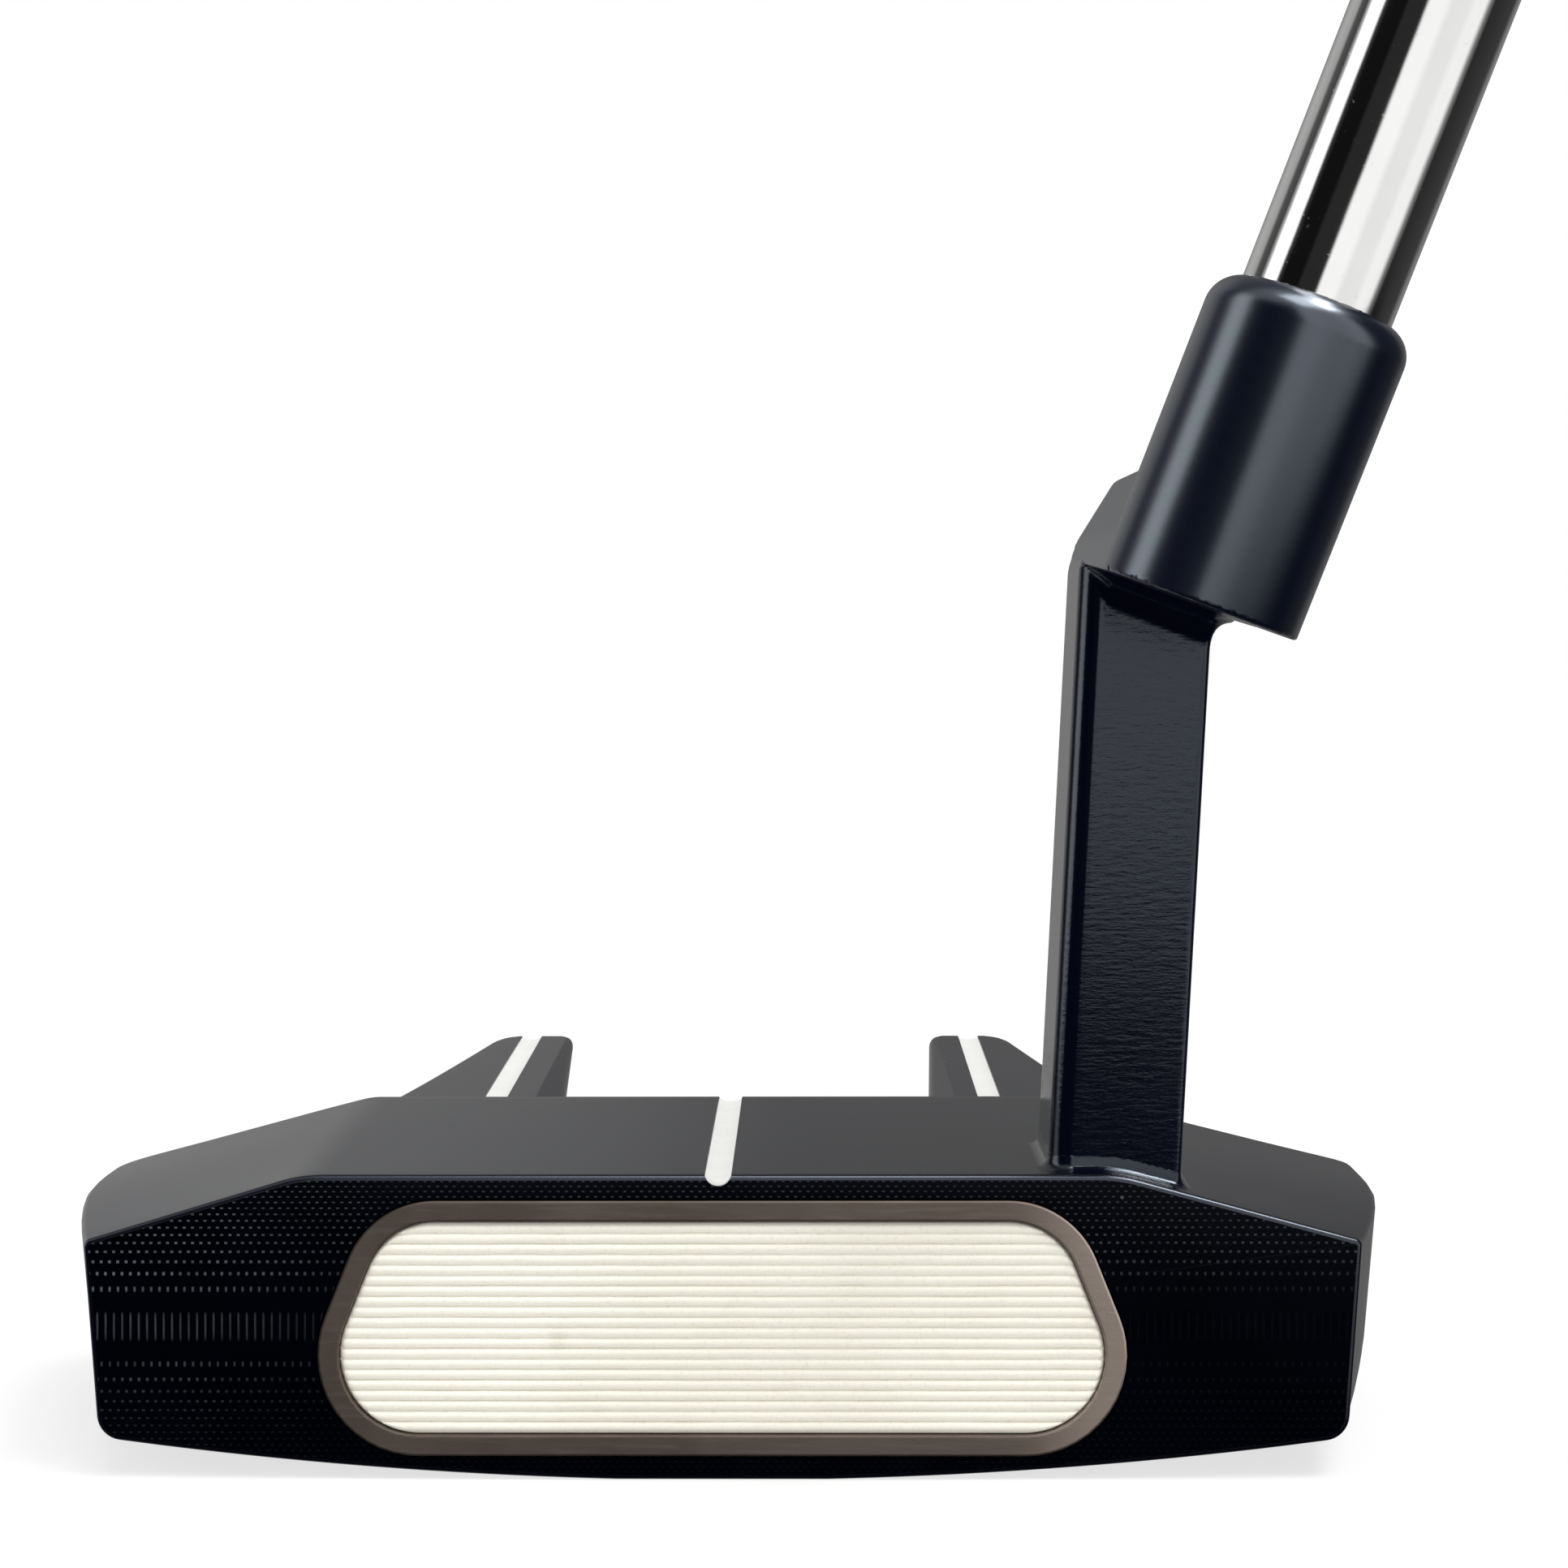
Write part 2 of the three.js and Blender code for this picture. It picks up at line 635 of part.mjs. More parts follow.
let pad = insertSolid(rimWidth + insertFit, padFront - 0.1, trayDepth - trayFloor - 0.1);
const padLow = insertBottom + rimWidth;
const padHigh = insertTop - rimWidth;
const ribCount = Math.floor((padHigh - padLow) / ribPitch);
const firstGroove = (padLow + padHigh) / 2 - ((ribCount - 1) * ribPitch) / 2;
for (let i = 0; i < ribCount; i += 1) {
  const cut = new THREE.BoxGeometry(90, ribGrooveWidth, 2);
  cut.translate(0, firstGroove + i * ribPitch, 1 - ribGrooveDepth - padFront + 0.1);
  pad = pad.subtract(placed(solidOf(cut), faceFrame));
}
addPart("insert_pad", pad, "cream_polymer");
addPart("insert_tape", insertSolid(0.6, trayDepth + 0.06, trayDepth + tapeThickness), "adhesive");

// Sight lines.
for (const [name, [x, top, from, to]] of Object.entries(lines)) {
  addPart(name, lineSolid(x, top, from, to, enamelGap), "white_enamel");
}

// Sole weights and the washers they seat on.
for (const [side, end] of [[-1, "toe"], [1, "heel"]]) {
  const socket = cylinderSolid(weightSocketAcross / 2, 2 * weightSocketDepth, 6).rotate([90, 0, 0]);
  const slug = cylinderSolid(weightRadius, weightLength).rotate([90, 0, 0]);
  const weight = slug.translate([0, 0, weightLength / 2]).subtract(socket);
  addPart(`${end}_sole_weight`, placed(weight, weightPlace(side)), "weight_steel");
  const ring = sleeveSolid([0, washerThickness], () => weightRadius - 0.2, () => 2.5, 32);
  const washer = ring.rotate([90, 0, 0]).translate([0, 0, weightLength + weightFit]);
  addPart(`${end}_weight_washer`, placed(washer, weightPlace(side)), "nylon");
}

// Neck, shaft and grip.
addPart("crank_neck", neckSolid(), "black_finish");
addPart("neck_weld_fillet", filletSolid(closedHead), "black_finish");
addPart("shaft", shaftSolid(), "chrome_steel");
addPart("shaft_tip_plug", tipPlugSolid(), "cork");
addPart("grip_tape", gripTapeSolid(), "adhesive");
addPart("grip", gripSolid(), "grip_rubber");

export default putter;
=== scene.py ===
"""A mallet putter: a black milled head with two fangs and a cream face insert, a crank neck, a chrome
shaft and a rubber grip."""

import math

import bpy
import numpy as np
from mathutils import Matrix, Vector


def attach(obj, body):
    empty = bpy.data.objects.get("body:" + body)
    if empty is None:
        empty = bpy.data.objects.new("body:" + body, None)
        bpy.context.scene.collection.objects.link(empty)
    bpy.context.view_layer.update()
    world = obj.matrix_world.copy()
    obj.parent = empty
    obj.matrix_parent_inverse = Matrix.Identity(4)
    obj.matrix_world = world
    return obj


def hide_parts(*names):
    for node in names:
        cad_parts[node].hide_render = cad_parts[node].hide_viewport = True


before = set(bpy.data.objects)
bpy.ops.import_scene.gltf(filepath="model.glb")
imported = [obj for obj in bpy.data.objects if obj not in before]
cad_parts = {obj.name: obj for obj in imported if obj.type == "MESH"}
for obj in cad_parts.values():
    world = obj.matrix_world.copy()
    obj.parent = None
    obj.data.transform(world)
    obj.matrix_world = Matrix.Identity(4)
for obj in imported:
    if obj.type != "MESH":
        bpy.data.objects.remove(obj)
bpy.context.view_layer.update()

MM = 0.001

# ---- Driving sizes, in millimetres ----------------------------------------------------

HEAD_HEIGHT = 23.3
FACE_SETBACK = 22.0
FACE_LOFT = math.radians(3)
FACE_HALF_WIDTH = 48.85
HEAD_HALF_WIDTH = 53.6
HEAD_SKEW = 0.1  # behind the face the head sits a little toward the heel
BAR_DEPTH = 33.2
REAR_CORNER_HALF_WIDTH = 46.6
WIDEST_FROM_FACE = 20.0
RIDGE_X = (32.2, 30.3)  # the level middle ends here, on the toe side and on the heel side
RIDGE_ROUND = 1.7
SHOULDER_FALL = ((0.301, 0.229), (0.27, 0.21))  # toe and heel, each at the face and farther back
SOLE_RADIUS = 350.0
SOLE_FLAT = 16.0
SIDE_DRAFT = 0.06
SOLE_CORNER = (2.0, 7.0)  # at the face and at the widest place
EDGE_ROUND = 0.4

FANG_TOP = HEAD_HEIGHT - 1.5
FANG_END = 75.7
FANG_SHIFT = (0.9, 0.65)  # toward the heel, at the root and at the tip
FANG_INNER = (19.3, 19.45)
FANG_OUTER = (33.9, 26.55)
FANG_BEVEL = (2.9, 0.9)
FANG_SOLE_RISE = 7.0

LINE_WIDTH = 2.1
LINE_DEPTH = 0.85
CENTER_LINE_X = -0.25
TOE_LINE_X = (-22.0, -22.55)  # at the root of the fang and at its tip
HEEL_LINE_X = (23.2, 23.5)
ENAMEL_BELOW = 0.08
ENAMEL_DISH = 0.26

INSERT_TOP = 21.4
INSERT_BOTTOM = 1.8
INSERT_TOP_HALF = 26.8
INSERT_SLOPE = 0.4
INSERT_TOP_RADIUS = 7.2
INSERT_BOTTOM_RADIUS = 7.75
INSERT_FIT = 0.12
RIM_WIDTH = 1.65
RIM_EDGE = 0.16
TRAY_DEPTH = 4.2
TRAY_FLOOR = 1.2
PAD_THICKNESS = 2.7
RIB_PITCH = 0.8
RIB_DEPTH = 0.26
RIB_WAVINESS = 0.05

WEIGHT_X = 37.0
WEIGHT_Y = 16.0 - FACE_SETBACK
WEIGHT_RADIUS = 6.0
WEIGHT_LENGTH = 7.5
WEIGHT_PIT_RADIUS = 6.15
WEIGHT_PIT_TOP = 11.6

POST_WIDTH = 10.15
POST_DEPTH = 10.5
POST_FRONT = 1.5 - FACE_SETBACK
POST_LEFT = 25.15
POST_LEAN = math.tan(math.radians(2.73))
POST_CORNER = 1.9
FOOT_FILLET = 1.2
# lowest and highest corner of the room each skin is made in, and the size of its quads
NECK_BOX, NECK_GRAIN = ((23, -49, 18), (48, -6, 90)), 0.3
FOOT_BOX, FOOT_GRAIN = ((23.5, -22.5, 19.5), (38, -4.8, 26)), 0.16

LIE = math.radians(69.3)
PRESS = math.radians(3)
AXIS = Vector((math.cos(LIE), -math.sin(PRESS) * math.sin(LIE), math.sin(LIE) * math.cos(PRESS)))
AXIS.normalize()
AXIS_POINT = Vector((37.6, -18.6 - FACE_SETBACK, 78.0))
BARREL_RADIUS = 7.05
BARREL_BELOW = 12.3
BARREL_ABOVE = 9.3
BARREL_CROWN = 2.25
BARREL_FLOOR = 3.0
SHAFT_TIP_RADIUS = 5.25
SHAFT_BUTT_RADIUS = 7.4
SHAFT_WALL = 0.9
CLUB_LENGTH = 863.6
GRIP_LENGTH = 266.0
GRIP_CAP = 3.5
GRIP_LOW_RADIUS = 9.3
GRIP_HIGH_RADIUS = 12.2
GRIP_PISTOL_REACH = 17.5
GRIP_FLAT = 0.84

BUTT_AT = CLUB_LENGTH - AXIS_POINT.z / AXIS.z
GRIP_START = BUTT_AT - GRIP_LENGTH
SHAFT_END = BUTT_AT - GRIP_CAP - 0.3


# ---- Camera, light and floor ----------------------------------------------------------


CAMERA_TURN = (3.572, -0.536, -0.144)  # pitch, yaw and roll, in degrees
CAMERA_PLACE = Vector((6.68, -215.84, 65.28))
CAMERA_LENS = 59.06


def stand_camera():
    pitch, yaw, roll = (math.radians(a) for a in CAMERA_TURN)
    ahead = Vector((math.sin(yaw) * math.cos(pitch), math.cos(yaw) * math.cos(pitch), -math.sin(pitch)))
    level = ahead.cross(Vector((0, 0, 1))).normalized()
    over = level.cross(ahead)
    right = level * math.cos(roll) + over * math.sin(roll)
    up = over * math.cos(roll) - level * math.sin(roll)
    data = bpy.data.cameras.new("view")
    data.sensor_width = 36
    data.lens = CAMERA_LENS
    data.clip_start = 0.01
    data.clip_end = 60
    view = bpy.data.objects.new("view", data)
    turn = Matrix((right, up, -ahead)).transposed().to_4x4()
    view.matrix_world = Matrix.Translation(CAMERA_PLACE * MM) @ turn
    bpy.context.collection.objects.link(view)
    bpy.context.scene.camera = view


def maths(operation, swapped=False):
    """A method that adds a Math node to a Reading."""

    def apply(self, *others):
        values = (*others, self) if swapped else (self, *others)
        return self.finish.math(operation, *values)

    return apply


class Reading:
    """A number that varies over a surface. Arithmetic on it adds Math nodes."""

    def __init__(self, finish, socket):
        self.finish = finish
        self.socket = socket

    __add__ = __radd__ = maths("ADD")
    __mul__ = __rmul__ = maths("MULTIPLY")
    __sub__ = maths("SUBTRACT")
    __rsub__ = maths("SUBTRACT", swapped=True)
    __truediv__ = maths("DIVIDE")
    __pow__ = maths("POWER")
    abs = maths("ABSOLUTE")
    sqrt = maths("SQRT")
    cosine = maths("COSINE")
    floor = maths("FLOOR")
    most = maths("MINIMUM")
    least = maths("MAXIMUM")

    def ease(self, low, high, out_low=0.0, out_high=1.0):
        """Runs smoothly from out_low at low to out_high at high."""
        node = self.finish.node(
            "ShaderNodeMapRange",
            {"interpolation_type": "SMOOTHSTEP"},
            {"Value": self, "From Min": low, "From Max": high, "To Min": out_low, "To Max": out_high},
        )
        return Reading(self.finish, node.outputs[0])


class Finish:
    """The nodes of one material, or of the studio's light."""

    def __init__(self, tree):
        self.tree = tree
        tree.nodes.clear()
        self.place = None

    def node(self, kind, settings=None, sockets=None):
        node = self.tree.nodes.new(kind)
        for name, value in (settings or {}).items():
            if name == "stops":
                ramp = node.color_ramp
                while len(ramp.elements) < len(value):
                    ramp.elements.new(0.5)
                for element, (at, colour) in zip(ramp.elements, value):
                    element.position = at
                    element.color = (colour, colour, colour, 1)
            else:
                setattr(node, name, value)
        for name, value in (sockets or {}).items():
            if isinstance(value, (Reading, bpy.types.NodeSocket)):
                self.tree.links.new(getattr(value, "socket", value), node.inputs[name])
            else:
                node.inputs[name].default_value = value
        return node

    def math(self, operation, *values):
        node = self.node("ShaderNodeMath", {"operation": operation}, dict(enumerate(values)))
        return Reading(self, node.outputs[0])

    def where(self):
        """X, Y and Z of the surface, in millimetres."""
        if self.place is None:
            self.place = self.node("ShaderNodeTexCoord").outputs["Object"]
            parts = self.node("ShaderNodeSeparateXYZ", {}, {0: self.place})
            self.xyz = [Reading(self, parts.outputs[i]) * 1000 for i in range(3)]
        return self.xyz

    def stretched(self, scale):
        self.where()
        return self.node("ShaderNodeMapping", {}, {"Vector": self.place, "Scale": scale}).outputs[0]

    def noise(self, scale, detail=3.0, rough=0.55, vector=None):
        """Noise whose grains are about 1/scale metres across."""
        self.where()
        sockets = {"Vector": vector or self.place, "Scale": scale, "Detail": detail, "Roughness": rough}
        return Reading(self, self.node("ShaderNodeTexNoise", {}, sockets).outputs[0])

    def cells(self, scale):
        """Distance to the nearest of scattered points about 1/scale metres apart."""
        self.where()
        node = self.node("ShaderNodeTexVoronoi", {"feature": "F1"}, {"Vector": self.place, "Scale": scale})
        return Reading(self, node.outputs["Distance"])

    def mix(self, share, first, second):
        node = self.node("ShaderNodeMix", {"data_type": "RGBA"}, {"Factor": share})
        for index, colour in ((6, first), (7, second)):
            if isinstance(colour, bpy.types.NodeSocket):
                self.tree.links.new(colour, node.inputs[index])
            else:
                node.inputs[index].default_value = (*colour, 1)
        return node.outputs[2]

    def bump(self, height, strength, distance, under=None):
        sockets = {"Height": height, "Strength": strength, "Distance": distance * MM}
        if under is not None:
            sockets["Normal"] = under
        return self.node("ShaderNodeBump", {}, sockets).outputs[0]


def finish(name):
    material = bpy.data.materials.new(name)
    material.use_nodes = True
    return material, Finish(material.node_tree)


def coat(made, colour, rough, normal, more=None):
    """The surface shader that closes a finish."""
    sockets = {"Base Color": colour, "Roughness": rough, "Normal": normal, **(more or {})}
    shader = made.node("ShaderNodeBsdfPrincipled", {}, sockets)
    made.node("ShaderNodeOutputMaterial", {}, {"Surface": shader.outputs[0]})


def studio_light():
    world = bpy.data.worlds.new("studio")
    bpy.context.scene.world = world
    world.use_nodes = True
    sky = Finish(world.node_tree)
    ray = sky.node("ShaderNodeTexCoord").outputs["Generated"]
    parts = sky.node("ShaderNodeSeparateXYZ", {}, {0: ray})
    east, north, height = (Reading(sky, parts.outputs[i]) for i in range(3))
    turn = sky.math("ARCTAN2", east, 0 - north) / (2 * math.pi) + 0.5
    brightest = 2.8
    # heading in degrees from straight in front of the face, and brightness
    panels = [
        (-180, 0.22), (-175, 0.33), (-166, 0.44), (-158, 0.52), (-150, 0.56), (-134, 0.5), (-126, 0.12),
        (-112, 0.08), (-105, 0.6), (-98, 2.5), (-80, 2.5), (-73, 0.05), (-66, 0.008), (-40, 0.008),
        (-36, 0.03), (-13, 0.03), (-9, 1.4), (12, 1.4), (20, 1.18), (42, 1.2), (50, 1.35), (66, 1.35),
        (73, 0.3), (80, 0.035), (125, 0.06), (140, 0.24), (180, 0.24),
    ]
    stops = [((angle + 180) / 360, value / brightest) for angle, value in panels]
    around = sky.node("ShaderNodeValToRGB", {"stops": stops}, {"Fac": turn})
    around = Reading(sky, around.outputs[0]) * brightest
    front = (0 - north).ease(-0.35, 0.05)
    heelward = ((turn - 0.5) * 360).least(0).most(45)
    edge = 0 - 0.1 - heelward * 0.003
    low = (height - edge).ease(-0.025, 0.035)
    level = around * (1 - front * (1 - low))
    overhead = height.ease(0.62, 0.86)
    level = level * (1 - overhead) + overhead * front.least(0.3) * 0.8
    glow = sky.node("ShaderNodeBackground", {}, {"Color": (1.0, 0.995, 0.98, 1), "Strength": level})
    backdrop = sky.node("ShaderNodeBackground", {}, {"Color": (1.0, 1.0, 1.0, 1), "Strength": 1.0})
    seen = sky.node("ShaderNodeLightPath").outputs["Is Camera Ray"]
    both = sky.node("ShaderNodeMixShader", {}, {0: seen, 1: glow.outputs[0], 2: backdrop.outputs[0]})
    sky.node("ShaderNodeOutputWorld", {}, {"Surface": both.outputs[0]})


def soft_lamp(name, place, target, width, depth, brightness):
    """A soft rectangular light of a given surface brightness."""
    data = bpy.data.lights.new(name, "AREA")
    data.shape = "RECTANGLE"
    data.size = width
    data.size_y = depth
    data.energy = brightness * math.pi * width * depth
    lamp = bpy.data.objects.new(name, data)
    toward = Vector(target) - Vector(place)
    lamp.matrix_world = Matrix.Translation(place) @ toward.to_track_quat("-Z", "Y").to_matrix().to_4x4()
    lamp.visible_camera = False
    bpy.context.collection.objects.link(lamp)


def pale_floor():
    steps = 96
    radii = [0.0, 0.3, 1.0, 4.0, 12.0]
    verts = [(0, 0, 0)]
    faces = []
    for ring, radius in enumerate(radii[1:]):
        start = len(verts)
        for i in range(steps):
            angle = 2 * math.pi * i / steps
            verts.append((radius * math.cos(angle), radius * math.sin(angle), 0))
            on = (i + 1) % steps
            if ring == 0:
                faces.append((0, start + i, start + on))
            else:
                faces.append((start - steps + i, start + i, start + on, start - steps + on))
    mesh = bpy.data.meshes.new("pale_floor")
    mesh.from_pydata(verts, [], faces)
    floor = bpy.data.objects.new("pale_floor", mesh)
    bpy.context.collection.objects.link(floor)
    material, made = finish("pale_floor")
    x, y, _ = made.where()
    away = (x * x + y * y).sqrt()
    grain = made.noise(60)
    tone = made.mix(grain, (0.9, 0.9, 0.9), (0.94, 0.94, 0.94))
    paper = made.node("ShaderNodeBsdfDiffuse", {}, {"Color": tone})
    glow = made.node("ShaderNodeEmission", {}, {"Color": (1, 1, 1, 1), "Strength": 1.0})
    share = away.ease(60, 900, 0.72, 1.0)
    both = made.node("ShaderNodeMixShader", {}, {0: share, 1: paper.outputs[0], 2: glow.outputs[0]})
    made.node("ShaderNodeOutputMaterial", {}, {"Surface": both.outputs[0]})
    mesh.materials.append(material)
    floor.visible_glossy = False


# ---- Making meshes --------------------------------------------------------------------


def make(name, verts, faces, materials, smooth_angle=35, normals=None):
    """A mesh object from millimetre points."""
    mesh = bpy.data.meshes.new(name)
    mesh.from_pydata((np.asarray(verts, float) * MM).tolist(), [], [list(map(int, f)) for f in faces])
    for material in materials:
        mesh.materials.append(material)
    mesh.shade_smooth()
    if normals is not None:
        mesh.normals_split_custom_set_from_vertices(normals.tolist())
    elif smooth_angle:
        mesh.set_sharp_from_angle(angle=math.radians(smooth_angle))
    made = bpy.data.objects.new(name, mesh)
    bpy.context.collection.objects.link(made)
    return made


def settled(made):
    """The object with its modifiers made part of its mesh."""
    graph = bpy.context.evaluated_depsgraph_get()
    mesh = bpy.data.meshes.new_from_object(made.evaluated_get(graph), depsgraph=graph)
    made.modifiers.clear()
    made.data = mesh
    return made


def keep(made, slot, *nodes):
    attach(made, "root")
    if nodes:
        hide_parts(*nodes)
    return made


def cut(made, tools, operation="DIFFERENCE"):
    for tool in tools:
        step = made.modifiers.new("cut", "BOOLEAN")
        step.operation = operation
        step.solver = "EXACT"
        step.object = tool
        settled(made)
        bpy.data.objects.remove(tool)
    return made


def circle(sides):
    """Angles evenly round a circle."""
    return np.arange(sides) * 2 * np.pi / sides


def as_points(x, y, z):
    """Points from three coordinates, any of which may be one number for all."""
    return np.stack(np.broadcast_arrays(x, y, z), -1)


def loft(rings, closed_ends=True):
    """Vertices and faces through a row of rings of equal count, each an (n, 3) array."""
    rings = [np.asarray(ring, float) for ring in rings]
    count = len(rings[0])
    verts = np.concatenate(rings)
    faces = []
    for r in range(len(rings) - 1):
        a = r * count + np.arange(count)
        b = r * count + (np.arange(count) + 1) % count
        faces += np.stack([a, b, b + count, a + count], 1).tolist()
    if closed_ends:
        faces.append(list(range(count))[::-1])
        last = (len(rings) - 1) * count
        faces.append(list(range(last, last + count)))
    return verts, faces


def facing_out(verts, faces):
    """Turns the faces over if they enclose a negative volume."""
    volume = 0.0
    for face in faces:
        p = verts[face[0]]
        for i in range(1, len(face) - 1):
            volume += np.dot(p, np.cross(verts[face[i]], verts[face[i + 1]]))
    return faces if volume > 0 else [f[::-1] for f in faces]


def rounded(corners, steps=8, spread=(), most=0.48):
    """Corner points [a, b, radius] walked round with arcs; spread counts the extra points on each side."""
    out = []
    count = len(corners)
    for i, (x, y, radius) in enumerate(corners):
        here = np.array([x, y])
        before = np.array(corners[i - 1][:2])
        after = np.array(corners[(i + 1) % count][:2])
        back, on = before - here, after - here
        room = most * min(np.linalg.norm(back), np.linalg.norm(on))
        back, on = back / np.linalg.norm(back), on / np.linalg.norm(on)
        half = math.acos(max(-1, min(1, float(back @ on)))) / 2
        if radius > 0:
            reach = min(radius / math.tan(half), room)
            start, end = here + back * reach, here + on * reach
            turn = math.pi - 2 * half
            weight = math.cos(turn / 2)
            for s in range(steps + 1):
                t = s / steps
                w = np.array([(1 - t) ** 2, 2 * t * (1 - t) * weight, t * t])
                out.append(tuple((w[0] * start + w[1] * here + w[2] * end) / w.sum()))
        else:
            out.append((x, y))
        extra = spread[i] if i < len(spread) else 0
        out.append(("fill", extra))
    flat = []
    for i, item in enumerate(out):
        if item[0] != "fill":
            flat.append(item)
            continue
        a = np.array(out[i - 1])
        b = np.array(next(p for p in out[i + 1 :] + out if p[0] != "fill"))
        for s in range(1, item[1] + 1):
            flat.append(tuple(a + (b - a) * s / (item[1] + 1)))
    return np.array(flat)


def drawn_in(ring, inset):
    """A closed outline moved inward by inset."""
    before, after = np.roll(ring, 1, 0), np.roll(ring, -1, 0)
    a, b = ring - before, after - ring
    a /= np.linalg.norm(a, axis=1)[:, None] + 1e-12
    b /= np.linalg.norm(b, axis=1)[:, None] + 1e-12
    mean = a + b
    mean /= np.linalg.norm(mean, axis=1)[:, None]
    inward = np.stack([-mean[:, 1], mean[:, 0]], 1)
    area = 0.5 * np.sum(ring[:, 0] * after[:, 1] - after[:, 0] * ring[:, 1])
    sharp = np.clip(np.sum(mean * a, 1), 0.5, 1)
    return ring + inward * (inset / sharp)[:, None] * (1 if area > 0 else -1)


def turned(profile, sides):
    """Rings of a turned piece: the profile is [radius, height along the shaft's axis]."""
    side = AXIS.cross(Vector((0, -1, 0))).normalized()
    over = AXIS.cross(side).normalized()
    angle = circle(sides)
    rings = []
    for radius, height in profile:
        middle = np.array(AXIS_POINT + AXIS * height)
        spoke = np.outer(np.cos(angle), side) + np.outer(np.sin(angle), over)
        rings.append(middle + spoke * radius)
    return rings


def on_face(x, up, depth):
    """A place on the strike face: along it, up it, and back from it."""
    s, c = math.sin(FACE_LOFT), math.cos(FACE_LOFT)
    low = -HEAD_HEIGHT * math.tan(FACE_LOFT) - FACE_SETBACK
    return as_points(x, low + up * s + depth * c, up * c - depth * s)


# ---- Head body ------------------------------------------------------------------------


def sole_height(x):
    bow = SOLE_RADIUS - np.sqrt(SOLE_RADIUS**2 - np.square(x))
    flat = SOLE_RADIUS - math.sqrt(SOLE_RADIUS**2 - (SOLE_FLAT / 2) ** 2)
    return np.maximum(0, bow - flat)


def shoulder_fall(y, side):
    """Fall per millimetre; side is -1 at the toe and 1 at the heel."""
    ease = np.clip(y / 22, 0, 1)
    front, rear = (np.where(side > 0, heel, toe) for toe, heel in zip(*SHOULDER_FALL))
    return front + (rear - front) * ease * (2 - ease)


def ridge(side):
    return np.where(side > 0, RIDGE_X[1], RIDGE_X[0])


def top_height(x, y):
    """Height of the bar's top; y is measured back from the face."""
    past = np.abs(x) - ridge(x)
    bend = (past + RIDGE_ROUND) ** 2 / (4 * RIDGE_ROUND)
    eased = np.where(np.abs(past) < RIDGE_ROUND, bend, np.maximum(past, 0))
    return HEAD_HEIGHT - shoulder_fall(y, x) * eased


FLARE = HEAD_HALF_WIDTH - FACE_HALF_WIDTH
ACROSS = HEAD_HALF_WIDTH - REAR_CORNER_HALF_WIDTH
REAR = BAR_DEPTH - WIDEST_FROM_FACE
FRONT_PLAN = [(0, FACE_HALF_WIDTH)]
for back, out in ((0.2, 0.28), (0.4, 0.53), (0.6, 0.75), (0.8, 0.92), (1, 0.99)):
    FRONT_PLAN.append((back * WIDEST_FROM_FACE, FACE_HALF_WIDTH + out * FLARE))
REAR_PLAN = {  # by side: how far back and how far across the rear corner is cut
    -1: (
        (0.2, 0.0), (0.43, 0.02), (0.52, 0.1), (0.575, 0.25), (0.61, 0.45), (0.65, 0.76), (0.69, 1.05),
        (0.98, 2.84), (1, 2.86),
    ),
    1: (
        (0.2, 0.0), (0.5, 0.0), (0.55, 0.02), (0.585, 0.09), (0.61, 0.3), (0.645, 0.66), (0.695, 1.05),
        (1, 3.2),
    ),
}


def half_width(y, side):
    """The plan outline on one side, smoothed a little between its stations."""
    cut_back = REAR_PLAN[side]
    rear = [(WIDEST_FROM_FACE + back * REAR, HEAD_HALF_WIDTH - out * ACROSS) for back, out in cut_back]
    places, widths = zip(*FRONT_PLAN, *rear)
    near = [np.interp(np.clip(y + d, 0, BAR_DEPTH), places, widths) for d in (-0.3, 0, 0.3)]
    return (near[0] + 2 * near[1] + near[2]) / 4


def half_outline(y, side):
    """Corners [x, z, radius] down one side: ridge, shoulder, side and sole."""
    width = half_width(y, side)
    top_edge = HEAD_HEIGHT - shoulder_fall(y, side) * (width - ridge(side))
    sole_edge = width - SIDE_DRAFT * top_edge
    rise = 0.0016 * max(0, y - 20) ** 2
    corner = np.interp(y, (0, WIDEST_FROM_FACE), SOLE_CORNER)
    round_off = RIDGE_ROUND * 2 / shoulder_fall(y, side)
    corners = [[ridge(side), HEAD_HEIGHT, round_off], [width, top_edge, 0.6]]
    corners.append([sole_edge, sole_height(sole_edge) + rise, corner])
    for share in np.linspace(1 - 2.4 * corner / sole_edge, 9.2 / sole_edge, 16):
        corners.append([sole_edge * share, sole_height(sole_edge * share) + rise, 0])
    corners.append([SOLE_FLAT / 2, rise, 0])
    return corners


def bar_outline(y):
    """The bar's outline at a station, from the heel ridge round by the sole and back."""
    right = half_outline(y, 1)
    left = [[-x, z, r] for x, z, r in half_outline(y, -1)[::-1]]
    # one side runs from each corner to the next, so the mirrored half takes the counts one place on
    spread = [10, 9, 2] + [0] * 16 + [4, 0] + [0] * 15 + [2, 9, 10, 30]
    return rounded(right + left, 8, spread)


